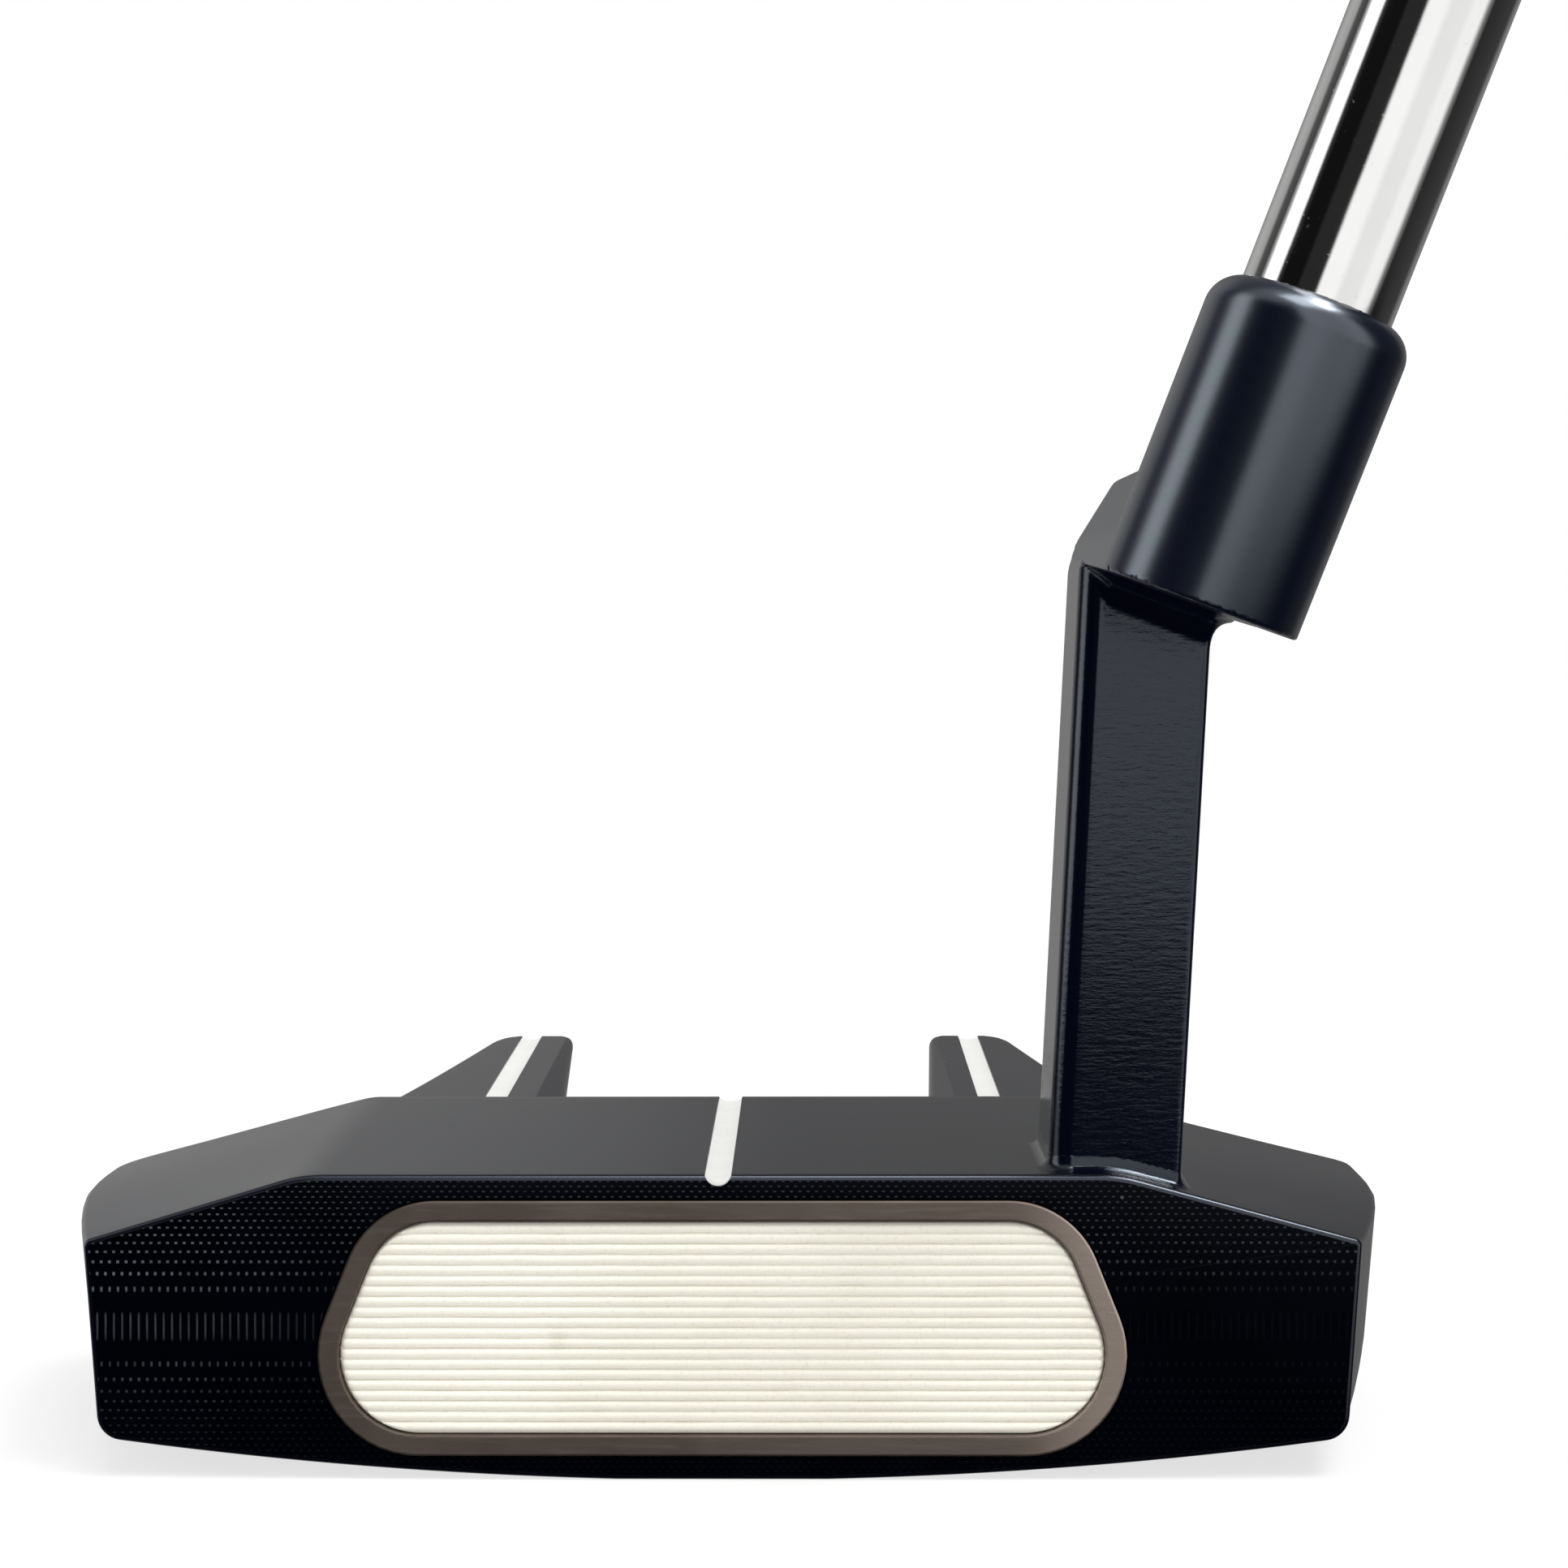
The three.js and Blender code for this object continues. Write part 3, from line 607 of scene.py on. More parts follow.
def bar_rings():
    """Rings from the face chamfer to the rear edge."""
    rings = []
    outline = bar_outline(0)
    for angle in np.linspace(0, math.pi / 2, 6):
        ring = drawn_in(outline, EDGE_ROUND * (1 - math.sin(angle)))
        slope = (HEAD_HEIGHT - ring[:, 1]) * math.tan(FACE_LOFT)
        y = EDGE_ROUND * (1 - math.cos(angle)) - FACE_SETBACK
        rings.append(as_points(ring[:, 0], y - slope, ring[:, 1]))
    corner = WIDEST_FROM_FACE + 0.3 * REAR
    spans = ((1.5, corner, 30), (corner + 0.25, corner + 5.5, 22), (30, BAR_DEPTH - 1.2, 5))
    for y in np.concatenate([np.linspace(*span) for span in spans]):
        ring = bar_outline(y)
        share = max(0, 1 - y / 1.6) if y < 1.6 else 0
        slope = (HEAD_HEIGHT - ring[:, 1]) * math.tan(FACE_LOFT) * share
        rings.append(as_points(ring[:, 0], y - FACE_SETBACK - slope, ring[:, 1]))
    last = bar_outline(BAR_DEPTH - 0.1)
    for angle in (20, 50, 90):
        a = math.radians(angle)
        ring = drawn_in(last, 0.5 * (1 - math.cos(a)))
        y = BAR_DEPTH - FACE_SETBACK - 0.5 + 0.5 * math.sin(a)
        rings.append(as_points(ring[:, 0], y, ring[:, 1]))
    for ring in rings:
        ring[:, 0] += HEAD_SKEW * np.clip((ring[:, 1] + FACE_SETBACK) / 12, 0, 1)
    return rings


def fang_rings(side):
    rings = []
    before_end, narrowing = (4, 2.6, 1.2, 0.4, 0), (0, 0.1, 0.45, 1.0, 1.6)
    nose = FANG_END - 4 * (1 - np.sin(np.linspace(0.15, np.pi / 2, 9)))
    for y in (*np.linspace(26, FANG_END - 4, 30), *nose):
        share = max(0, (y - BAR_DEPTH) / (FANG_END - BAR_DEPTH))
        pinch = np.interp(y, [FANG_END - d for d in before_end], narrowing)
        inner = FANG_INNER[0] + (FANG_INNER[1] - FANG_INNER[0]) * share + 0.4 * pinch
        outer = FANG_OUTER[0] + (FANG_OUTER[1] - FANG_OUTER[0]) * share**0.85 - pinch
        bevel = FANG_BEVEL[0] * (1 - 0.74 * share)
        drop = FANG_BEVEL[1] * (1 - 0.83 * share)
        shift = FANG_SHIFT[0] + (FANG_SHIFT[1] - FANG_SHIFT[0]) * share
        under = 1.2 + FANG_SOLE_RISE * share**1.3 + pinch
        corners = [
            [outer, FANG_TOP, 0.6],
            [outer + 1.8 * (1 - 0.5 * share), under + 3, 1.5],
            [outer - 1.5, under, 2],
            [inner - bevel + 2, under, 2],
            [inner - bevel, FANG_TOP - drop, 0.6],
            [inner, FANG_TOP, 0.5],
        ]
        ring = rounded(corners, 6, [3, 3, 4, 6, 1, 6])
        rings.append(as_points(side * ring[:, 0] + shift, min(y, FANG_END) - FACE_SETBACK, ring[:, 1]))
    return rings


def insert_outline(inset, steps=14):
    """The insert's outline on the face, drawn in by inset: x and height up the face."""
    top, bottom = INSERT_TOP - inset, INSERT_BOTTOM + inset
    lean = math.hypot(1, INSERT_SLOPE)

    def side(height):
        return INSERT_TOP_HALF + INSERT_SLOPE * (INSERT_TOP - height) - inset * lean

    corners = [
        [-side(top), top, INSERT_TOP_RADIUS - inset],
        [side(top), top, INSERT_TOP_RADIUS - inset],
        [side(bottom), bottom, INSERT_BOTTOM_RADIUS - inset],
        [-side(bottom), bottom, INSERT_BOTTOM_RADIUS - inset],
    ]
    return rounded(corners, steps, [48, 8, 48, 8], 0.8)


def line_at(name, y):
    """Where a sight line's middle lies, at a distance behind the face."""
    places, _, start_y, end_y = LINES[name]
    return np.interp(y, (start_y, end_y), places)


def groove(name, radius, middle):
    (start_x, end_x), _, start_y, end_y = LINES[name]
    across, up = radius * np.cos(circle(40)), middle + radius * np.sin(circle(40))
    ends = ((start_x, start_y), (end_x, end_y))
    return loft([as_points(x + across, y - FACE_SETBACK, up) for x, y in ends])


def tool(verts, faces):
    return make("tool", verts, facing_out(np.asarray(verts), faces), [], 0)


LINES = {
    "center_sight_line": ((CENTER_LINE_X, CENTER_LINE_X), HEAD_HEIGHT, -1.0, BAR_DEPTH + 1),
    "toe_fang_line": (TOE_LINE_X, FANG_TOP, BAR_DEPTH - 4, FANG_END + 1),
    "heel_fang_line": (HEEL_LINE_X, FANG_TOP, BAR_DEPTH - 4, FANG_END + 1),
}


def make_head(black, milled):
    rings = bar_rings()
    count = len(rings[0])
    verts, faces = loft(rings, closed_ends=False)
    faces.append(list(range((len(rings) - 1) * count, len(rings) * count)))
    # The face: flat strips between its chamfer and the insert's pocket, then the pocket's wall and floor.
    outer = drawn_in(bar_outline(0), EDGE_ROUND)
    hole = insert_outline(-INSERT_FIT)
    middle = np.array([0.0, (INSERT_TOP + INSERT_BOTTOM) / 2])
    rays = outer - middle
    hole_rays = hole - middle
    hole_angle = np.arctan2(hole_rays[:, 1], hole_rays[:, 0])
    order = np.argsort(hole_angle)
    tight = []
    for ray in rays:
        angle = math.atan2(ray[1], ray[0])
        i = np.searchsorted(hole_angle[order], angle) % len(order)
        a, b = hole_rays[order[i - 1]], hole_rays[order[i]]
        direction = ray / np.linalg.norm(ray)
        edge = b - a
        reach = (a[0] * edge[1] - a[1] * edge[0]) / (direction[0] * edge[1] - direction[1] * edge[0])
        tight.append(middle + direction * reach)
    tight = np.array(tight)
    up = tight[:, 1]
    start = len(verts)
    at_mouth = on_face(tight[:, 0], up, 0)
    pocket = on_face(tight[:, 0], up, TRAY_DEPTH + 0.35)
    verts = np.concatenate([verts, at_mouth, pocket])
    near = np.arange(count)
    on = (near + 1) % count
    strips = np.stack([near, start + near, start + on, on], 1).tolist()
    walls = np.stack([start + near, start + count + near, start + count + on, start + on], 1).tolist()
    face_first = len(faces)
    faces += strips + walls
    faces.append(list(range(start + count, start + 2 * count)))
    head = make("head", verts, facing_out(verts, faces), [black, milled], 0)
    for i in range(face_first, face_first + count):
        head.data.polygons[i].material_index = 1
    fangs = [tool(*loft(fang_rings(side))) for side in (-1, 1)]
    for fang in fangs:
        fang.data.materials.append(black)
    cut(head, fangs, "UNION")
    tools = []
    for name, (_, top, _, _) in LINES.items():
        radius = LINE_WIDTH / 2 + 0.02
        tools.append(tool(*groove(name, radius, top - LINE_DEPTH + radius)))
    for side in (-1, 1):
        x = side * WEIGHT_X + WEIGHT_PIT_RADIUS * np.cos(circle(64))
        y = WEIGHT_Y + WEIGHT_PIT_RADIUS * np.sin(circle(64))
        tools.append(tool(*loft([as_points(x, y, z) for z in (-3.0, WEIGHT_PIT_TOP)])))
    cut(head, tools)
    head.data.shade_smooth()
    head.data.set_sharp_from_angle(angle=math.radians(24))
    weigh = head.modifiers.new("even_shading", "WEIGHTED_NORMAL")
    weigh.keep_sharp = True
    settled(head)
    return keep(head, "head_black", "head_body")


def make_line(name, enamel):
    """Enamel lying in a round-bottomed groove, a little dished."""
    top = LINES[name][1]
    radius = LINE_WIDTH / 2 - 0.01
    middle = top - LINE_DEPTH + LINE_WIDTH / 2
    level = top - ENAMEL_BELOW
    reach = math.sqrt(radius**2 - (level - middle) ** 2)
    angle = math.asin(min(1, reach / radius))
    around = np.linspace(-angle, angle, 17)
    under = [(radius * math.sin(a), middle - radius * math.cos(a)) for a in around]
    across = np.linspace(reach, -reach, 15)[1:-1]
    over = [(w, level - ENAMEL_DISH * (1 - (w / reach) ** 2)) for w in across]
    section = np.array(under + over)
    if name == "center_sight_line":
        start_y, end_y = 0.12, BAR_DEPTH - 0.9
    else:
        start_y, end_y = BAR_DEPTH - 0.2, FANG_END - 0.25
    rings = []
    for y in np.linspace(start_y, end_y, 30):
        slope = 0
        if name == "center_sight_line":
            slope = (HEAD_HEIGHT - section[:, 1]) * math.tan(FACE_LOFT) * max(0, 1 - (y - start_y) / 2)
        rings.append(as_points(line_at(name, y) + section[:, 0], y - FACE_SETBACK - slope, section[:, 1]))
    verts, faces = loft(rings)
    line = make(name.replace("_line", "_enamel"), verts, facing_out(verts, faces), [enamel], 40)
    return keep(line, "sight_enamel", name)


# ---- Face insert ----------------------------------------------------------------------


def face_rings(steps):
    """Rings on the face from (inset, depth) pairs."""
    return [on_face(*insert_outline(inset).T, depth) for inset, depth in steps]


def make_rim(metal):
    floor = TRAY_DEPTH - TRAY_FLOOR
    inner = RIM_WIDTH
    e = RIM_EDGE
    steps = [
        (0, TRAY_DEPTH), (0, e), (0.3 * e, 0.3 * e), (e, 0), (e + 0.05, 0), (inner - e - 0.05, 0.03),
        (inner - e, 0.03), (inner - 0.3 * e, 0.3 * e), (inner, e + 0.04), (inner, floor),
    ]
    verts, faces = loft(face_rings(steps))
    rim = make("insert_rim", verts, facing_out(verts, faces), [metal], 30)
    return keep(rim, "rim_taupe", "insert_rim_tray")


def rib_tree():
    """Geometry nodes that press wavy ribs into the pad's front."""
    tree = bpy.data.node_groups.new("pad_ribs", "GeometryNodeTree")
    face = tree.interface
    face.new_socket("Geometry", in_out="INPUT", socket_type="NodeSocketGeometry")
    for name, value in (("Pitch", RIB_PITCH), ("Depth", RIB_DEPTH), ("Waviness", RIB_WAVINESS)):
        face.new_socket(name, in_out="INPUT", socket_type="NodeSocketFloat").default_value = value * MM
    face.new_socket("Seed", in_out="INPUT", socket_type="NodeSocketFloat").default_value = 3.0
    face.new_socket("Finish", in_out="INPUT", socket_type="NodeSocketMaterial")
    face.new_socket("Geometry", in_out="OUTPUT", socket_type="NodeSocketGeometry")
    ribs = Finish(tree)
    given = ribs.node("NodeGroupInput")
    place = ribs.node("GeometryNodeInputPosition").outputs[0]
    up = Reading(ribs, ribs.node("ShaderNodeSeparateXYZ", {}, {0: place}).outputs[2])
    wave = ribs.node(
        "ShaderNodeTexNoise",
        {"noise_dimensions": "4D"},
        {"Vector": place, "W": given.outputs["Seed"], "Scale": 260.0},
    )
    wobble = (Reading(ribs, wave.outputs[0]) - 0.5) * Reading(ribs, given.outputs["Waviness"]) * 2
    turns = (up + wobble) / Reading(ribs, given.outputs["Pitch"])
    phase = turns - turns.floor()
    trough = (phase - 0.5).abs() * 2
    groove = (1 - trough) ** 2.6
    front = ribs.node("GeometryNodeInputNamedAttribute", {"data_type": "FLOAT"}, {"Name": "front"})
    push = groove * Reading(ribs, given.outputs["Depth"]) * Reading(ribs, front.outputs[0])
    back = ribs.node(
        "ShaderNodeVectorMath",
        {"operation": "SCALE"},
        {0: (0, math.cos(FACE_LOFT), -math.sin(FACE_LOFT)), "Scale": push},
    )
    geometry = ribs.node(
        "GeometryNodeSetPosition", {}, {"Geometry": given.outputs["Geometry"], "Offset": back.outputs[0]}
    )
    single = ribs.node("GeometryNodeRealizeInstances", {}, {"Geometry": geometry.outputs[0]})
    painted = ribs.node(
        "GeometryNodeSetMaterial", {}, {"Geometry": single.outputs[0], "Material": given.outputs["Finish"]}
    )
    ribs.node("NodeGroupOutput", {}, {"Geometry": painted.outputs[0]})
    return tree


def give(made, tree, values):
    """Adds a geometry-nodes step and fills its named inputs."""
    step = made.modifiers.new(tree.name, "NODES")
    step.node_group = tree
    names = {item.name: item.identifier for item in tree.interface.items_tree if item.in_out == "INPUT"}
    for name, value in values.items():
        step[names[name]] = value
    return settled(made)


def make_pad(polymer):
    """The pad's blank is a fine grid trimmed to its outline; the ribs are then pressed into it."""
    inset = RIM_WIDTH + 0.05
    front = TRAY_DEPTH - TRAY_FLOOR - PAD_THICKNESS - 0.1
    back = TRAY_DEPTH - TRAY_FLOOR - 0.1
    round_edge = 0.35
    outline = insert_outline(inset, 24)
    low, high = outline[:, 1].min(), outline[:, 1].max()
    rows = int((high - low) / RIB_PITCH * 9)
    columns = 150
    # Half width at every height, from the outline's right side.
    right = outline[outline[:, 0] > 0]
    right = right[np.argsort(right[:, 1])]
    heights = low + (high - low) * (0.5 - 0.5 * np.cos(np.linspace(0.035, math.pi - 0.035, rows)))
    even = np.linspace(low + 0.02, high - 0.02, rows)
    heights = 0.12 * heights + 0.88 * even
    half = np.interp(heights, right[:, 1], right[:, 0])
    half[-1] = max(half[-1], INSERT_TOP_HALF - 5)
    crowded = np.sin(np.linspace(-math.pi / 2, math.pi / 2, columns) * 0.985)
    share = crowded * 0.25 + np.linspace(-1, 1, columns) * 0.75
    share /= share[-1]
    x = half[:, None] * share[None, :]
    up = np.repeat(heights[:, None], columns, 1)
    # Depth: a small rounded edge all round.
    ring = np.vstack([outline, outline[:1]])
    points = np.stack([x.ravel(), up.ravel()], 1)
    best = np.full(len(points), 1e9)
    for a, b in zip(ring[:-1], ring[1:]):
        edge = b - a
        t = np.clip(((points - a) @ edge) / (edge @ edge + 1e-12), 0, 1)
        best = np.minimum(best, np.hypot(*(points - a - t[:, None] * edge).T))
    closeness = np.clip(1 - best / round_edge, 0, 1)
    drop = round_edge * (1 - np.sqrt(np.clip(1 - closeness**2, 0, 1)))
    verts = on_face(points[:, 0], points[:, 1], front + drop)
    index = np.arange(rows * columns).reshape(rows, columns)
    corners = [index[:-1, :-1], index[:-1, 1:], index[1:, 1:], index[1:, :-1]]
    faces = np.stack(corners, -1).reshape(-1, 4).tolist()
    # The wall and the back.
    rim = np.concatenate([index[0, :], index[1:, -1], index[-1, -2::-1], index[-2:0:-1, 0]])
    wall = on_face(*points[rim].T, back)
    start = len(verts)
    verts = np.concatenate([verts, wall])
    for i in range(len(rim)):
        j = (i + 1) % len(rim)
        faces.append([rim[j], rim[i], start + i, start + j])
    faces.append(list(range(start, start + len(rim)))[::-1])
    pad = make("insert_pad_ribbed", verts, facing_out(verts, faces), [polymer], 0)
    mark = pad.data.attributes.new("front", "FLOAT", "POINT")
    soft = np.zeros(len(verts))
    soft[: len(points)] = np.clip(best / 0.3, 0, 1)
    mark.data.foreach_set("value", soft)
    sizes = {"Pitch": RIB_PITCH * MM, "Depth": RIB_DEPTH * MM, "Waviness": RIB_WAVINESS * MM}
    give(pad, rib_tree(), {**sizes, "Seed": 3.0, "Finish": polymer})
    pad.data.shade_smooth()
    pad.data.set_sharp_from_angle(angle=math.radians(60))
    return keep(pad, "pad_cream", "insert_pad")


# ---- Neck -----------------------------------------------------------------------------


def corner_gap(a, b, radius):
    """Distance to what two bodies share, from the distance to each, with its corner rounded."""
    a, b = a + radius, b + radius
    return np.minimum(np.maximum(a, b), 0) + np.hypot(np.maximum(a, 0), np.maximum(b, 0)) - radius


def outline_gap(x, z, corners):
    best = np.full(x.shape, 1e9)
    inside = np.zeros(x.shape, bool)
    for (x0, z0), (x1, z1) in zip(corners, np.roll(corners, -1, 0)):
        ex, ez = x1 - x0, z1 - z0
        t = np.clip(((x - x0) * ex + (z - z0) * ez) / (ex * ex + ez * ez + 1e-12), 0, 1)
        best = np.minimum(best, np.hypot(x - x0 - t * ex, z - z0 - t * ez))
        slope = ex / (ez if abs(ez) > 1e-9 else 1e-9)
        inside ^= ((z0 > z) != (z1 > z)) & (x < slope * (z - z0) + x0)
    return np.where(inside, -best, best)


def blended(a, b, reach):
    """Two bodies joined with a fillet."""
    share = np.clip(0.5 + 0.5 * (b - a) / reach, 0, 1)
    return b + (a - b) * share - reach * share * (1 - share)


def trimmed(a, b, reach):
    """The part common to two bodies, with its edge eased."""
    return -blended(-a, -b, reach)


def post_gap(p):
    middle = POST_LEFT + POST_WIDTH / 2 + POST_LEAN * (p[..., 2] - HEAD_HEIGHT)
    y = p[..., 1] - (POST_FRONT + POST_DEPTH / 2)
    x = p[..., 0] - middle
    # only the front corner on the toe side is broadly rounded
    corner = np.where(y > 0, 0.8, np.where(x < 0, POST_CORNER, 0.55))
    return corner_gap(np.abs(x) - POST_WIDTH / 2, np.abs(y) - POST_DEPTH / 2, corner)


def axis_places(p):
    away = p - np.array(AXIS_POINT)
    height = away @ np.array(AXIS)
    return np.sqrt(np.maximum(np.sum(away * away, -1) - height**2, 0)), height


def arm_corners():
    slant = 1 / math.tan(LIE)
    under_x = AXIS_POINT.x - math.cos(LIE) * BARREL_BELOW
    under_z = AXIS_POINT.z - math.sin(LIE) * BARREL_BELOW
    left = POST_LEFT + POST_LEAN * (under_z - HEAD_HEIGHT)
    right = under_x + 5.2
    top = AXIS_POINT.z - 1.2

    def under(x):
        return under_z - slant * (x - under_x)

    corners = [
        [left, under(left) - 3, 0], [right - 1, under(right) - 3, 0], [right, under(right), 0.8],
        [right + slant * 9.4, under(right) + 9.4, 2], [left + 7.5, top + 0.2, 0],
        [left + 3.9, top - 0.2, 1.2], [left + 0.85, under_z + 5.2, 3], [left, under_z + 2.4, 3],
    ]
    return rounded(corners, 5)


ARM = arm_corners()


def neck_gap(p):
    radius, height = axis_places(p)
    edge = np.where(height > 0, BARREL_CROWN, 0.3)
    middle, half = (BARREL_ABOVE - BARREL_BELOW - 2) / 2, (BARREL_ABOVE + BARREL_BELOW + 2) / 2
    barrel = corner_gap(radius - BARREL_RADIUS, np.abs(height - middle) - half, edge)
    front, back = AXIS_POINT.y, POST_FRONT + POST_DEPTH
    flat = outline_gap(p[..., 0], p[..., 2], ARM)
    depth = np.abs(p[..., 1] - (front + back) / 2) - (back - front) / 2
    arm = corner_gap(flat, depth, 0.5)
    upper = trimmed(blended(arm, barrel, 0.3), -(height + BARREL_BELOW), 0.25)
    shank = np.maximum(post_gap(p), np.minimum(flat, p[..., 2] - 67.5))
    shank = np.maximum(shank, height + BARREL_BELOW - 1.5)
    # under the barrel the post's front and inner side are filleted, and its other two sides are flush
    past = p[..., 0] - POST_LEFT - POST_LEAN * (p[..., 2] - HEAD_HEIGHT)
    inner = 1.1 * np.clip((past - 0.5 * POST_WIDTH) / 3, 0, 1)
    across = np.clip((past - 0.5) / 1.7, 0, 1)
    before = 2.8 * across * np.clip((POST_FRONT + 0.6 * POST_DEPTH - p[..., 1]) / 3, 0, 1)
    whole = blended(upper, shank, 0.02 + np.maximum(inner, before))
    whole = np.maximum(whole, HEAD_HEIGHT - 1.1 - p[..., 2] - 3.5 * (p[..., 0] > RIDGE_X[1]))
    bore = np.maximum(radius - SHAFT_TIP_RADIUS - 0.1, BARREL_FLOOR - BARREL_BELOW - height)
    return trimmed(whole, -bore, 0.3)


def foot_gap(p):
    """The dressed weld round the post's foot."""
    head = (p[..., 2] - top_height(p[..., 0], p[..., 1] + FACE_SETBACK)) * 0.98 + 0.02
    post = post_gap(p)
    fillet = blended(post, head, FOOT_FILLET)
    fillet = np.maximum(fillet, np.maximum(post, head) - 0.97 * FOOT_FILLET)
    return np.maximum(np.maximum(fillet, -(post + 0.35)), -(head + 0.25))


def skin(gap, low, high, step):
    """A closed quad skin round a body given by its distance: vertices, faces and normals."""
    axes = [np.arange(a - 2 * step, b + 3 * step, step) for a, b in zip(low, high)]
    y, z = np.meshgrid(axes[1], axes[2], indexing="ij")
    inside = np.array([gap(np.stack([np.full(y.shape, x), y, z], -1)) < 0 for x in axes[0]])
    ni, nj, nk = (size - 1 for size in inside.shape)
    corners = [(i, j, k) for i in (0, 1) for j in (0, 1) for k in (0, 1)]
    count = sum(inside[i : ni + i, j : nj + j, k : nk + k].astype(int) for i, j, k in corners)
    active = (count > 0) & (count < 8)
    cells = np.argwhere(active)
    number = np.full(active.shape, -1)
    number[active] = np.arange(len(cells))
    origin = np.array([a[0] for a in axes])
    start = origin + (cells + 0.5) * step
    verts = start.copy()
    h = 0.02
    for _ in range(5):
        slope = np.stack([gap(verts + h * e) - gap(verts - h * e) for e in np.eye(3)], 1) / (2 * h)
        size = np.maximum(np.sum(slope**2, 1), 0.05)
        verts = verts - 0.9 * (gap(verts) / size)[:, None] * slope
        verts = np.clip(verts, start - 0.75 * step, start + 0.75 * step)
    slope = np.stack([gap(verts + h * e) - gap(verts - h * e) for e in np.eye(3)], 1)
    normals = slope / (np.linalg.norm(slope, axis=1)[:, None] + 1e-12)
    faces = []
    for axis, (u, v) in enumerate(((1, 2), (2, 0), (0, 1))):
        near = np.take(inside, range(inside.shape[axis] - 1), axis)
        far = np.take(inside, range(1, inside.shape[axis]), axis)
        here = np.argwhere(near != far)
        out = near[tuple(here.T)]
        ring = []
        for du, dv in ((1, 1), (0, 1), (0, 0), (1, 0)):
            at = here.copy()
            at[:, u] -= du
            at[:, v] -= dv
            ring.append(number[tuple(at.T)])
        quads = np.stack(ring, 1)
        quads[~out] = quads[~out][:, ::-1]
        faces += quads.tolist()
    return verts, faces, normals


def make_neck(black, brushed):
    """One skin for the neck; below the barrel's underside the post is brushed, not blasted."""
    verts, faces, normals = skin(neck_gap, *NECK_BOX, NECK_GRAIN)
    _, height = axis_places(verts)
    post = (height < 0.3 - BARREL_BELOW) & (verts[:, 1] > AXIS_POINT.y + BARREL_RADIUS + 2)
    neck = make("neck", verts, faces, [black, brushed], 0, normals)
    neck.data.polygons.foreach_set("material_index", post[[face[0] for face in faces]].astype(np.int32))
    keep(neck, "neck_black", "crank_neck")
    verts, faces, normals = skin(foot_gap, *FOOT_BOX, FOOT_GRAIN)
    foot = make("neck_foot_fillet", verts, faces, [brushed], 0, normals)
    keep(foot, "head_black", "neck_weld_fillet")


# ---- Shaft and grip -------------------------------------------------------------------


def shaft_radius(place):
    share = np.maximum(0, (place - 120) / (SHAFT_END - 120))
    return SHAFT_TIP_RADIUS + (SHAFT_BUTT_RADIUS - SHAFT_TIP_RADIUS) * share


def make_shaft(chrome):
    start = BARREL_FLOOR - BARREL_BELOW + 0.1
    places = np.concatenate([np.linspace(start, 120, 30), np.linspace(130, SHAFT_END, 90)])
    outer = [(shaft_radius(p), p) for p in places]
    inner = [(shaft_radius(p) - SHAFT_WALL, p) for p in places[::-8]]
    rings = turned(outer + inner, 96)
    verts, faces = loft(rings + [rings[0]], closed_ends=False)
    total = len(outer + inner) * 96
    faces = [[i if i < total else i - total for i in face] for face in faces]
    verts = verts[:total]
    shaft = make("shaft_tube", verts, facing_out(verts, faces), [chrome], 40)
    return keep(shaft, "shaft_chrome", "shaft")


def grip_ring(share, count=96):
    """The thumb flat faces away from the player, the pistol swell toward them."""
    radius = GRIP_LOW_RADIUS + (GRIP_HIGH_RADIUS - GRIP_LOW_RADIUS) * share**0.8

    def ease(a, b):
        t = min(1, max(0, (share - a) / (b - a)))
        return t * t * (3 - 2 * t)

    swell = ease(0.45, 0.86) * (GRIP_PISTOL_REACH - GRIP_HIGH_RADIUS) - ease(0.9, 1) * 1.9
    angle = circle(count)
    facing = np.cos(angle)
    flat = GRIP_FLAT * radius / np.maximum(facing, 0.05)
    reach = blended(np.full(count, radius), flat, 1.6) + np.where(facing < 0, swell * facing**2, 0)
    return -reach * facing, reach * np.sin(angle)


def grip_place(share, across, out):
    turn = Vector((0, 1, 0)).rotation_difference(AXIS).to_matrix()
    local = np.stack([across, np.full_like(across, GRIP_START + share * GRIP_LENGTH), out], 1)
    return local @ np.array(turn).T + np.array(AXIS_POINT)


def make_grip(rubber):
    rings = []
    steps = [(0.0, -1.1), (0.0004, -0.45), (0.0016, -0.12), (0.004, 0)]
    steps += [(s, 0) for s in np.linspace(0.01, 0.988, 110)]
    steps += [(0.9925, -0.25), (0.9965, -0.9), (0.9988, -1.7), (0.9999, -3.2), (0.9999, -9.5)]
    for share, inset in steps:
        a, b = grip_ring(share)
        reach = np.hypot(a, b)
        keep_share = (reach + inset) / reach
        rings.append(grip_place(share, a * keep_share, b * keep_share))
    vent = rings[-1]
    middle = np.array(AXIS_POINT + AXIS * (GRIP_START + 0.9999 * GRIP_LENGTH))
    spoke = (vent - middle) / np.linalg.norm(vent - middle, axis=1)[:, None]
    rings.append(middle + spoke * 1.9)
    rings.append(middle + spoke * 1.6 - np.array(AXIS) * 0.3)
    rings.append(middle + spoke * 1.6 - np.array(AXIS) * (GRIP_CAP - 0.4))
    first = rings[0]
    low = np.array(AXIS_POINT + AXIS * GRIP_START)
    spoke = (first - low) / np.linalg.norm(first - low, axis=1)[:, None]
    mouth = low + spoke * (shaft_radius(GRIP_START) + 0.35)
    inside = mouth + np.array(AXIS) * 4
    verts, faces = loft([inside, mouth] + rings)
    grip = make("grip_moulding", verts, facing_out(verts, faces), [rubber], 40)
    return keep(grip, "grip_rubber", "grip")


# ---- Sole weights ---------------------------------------------------------------------


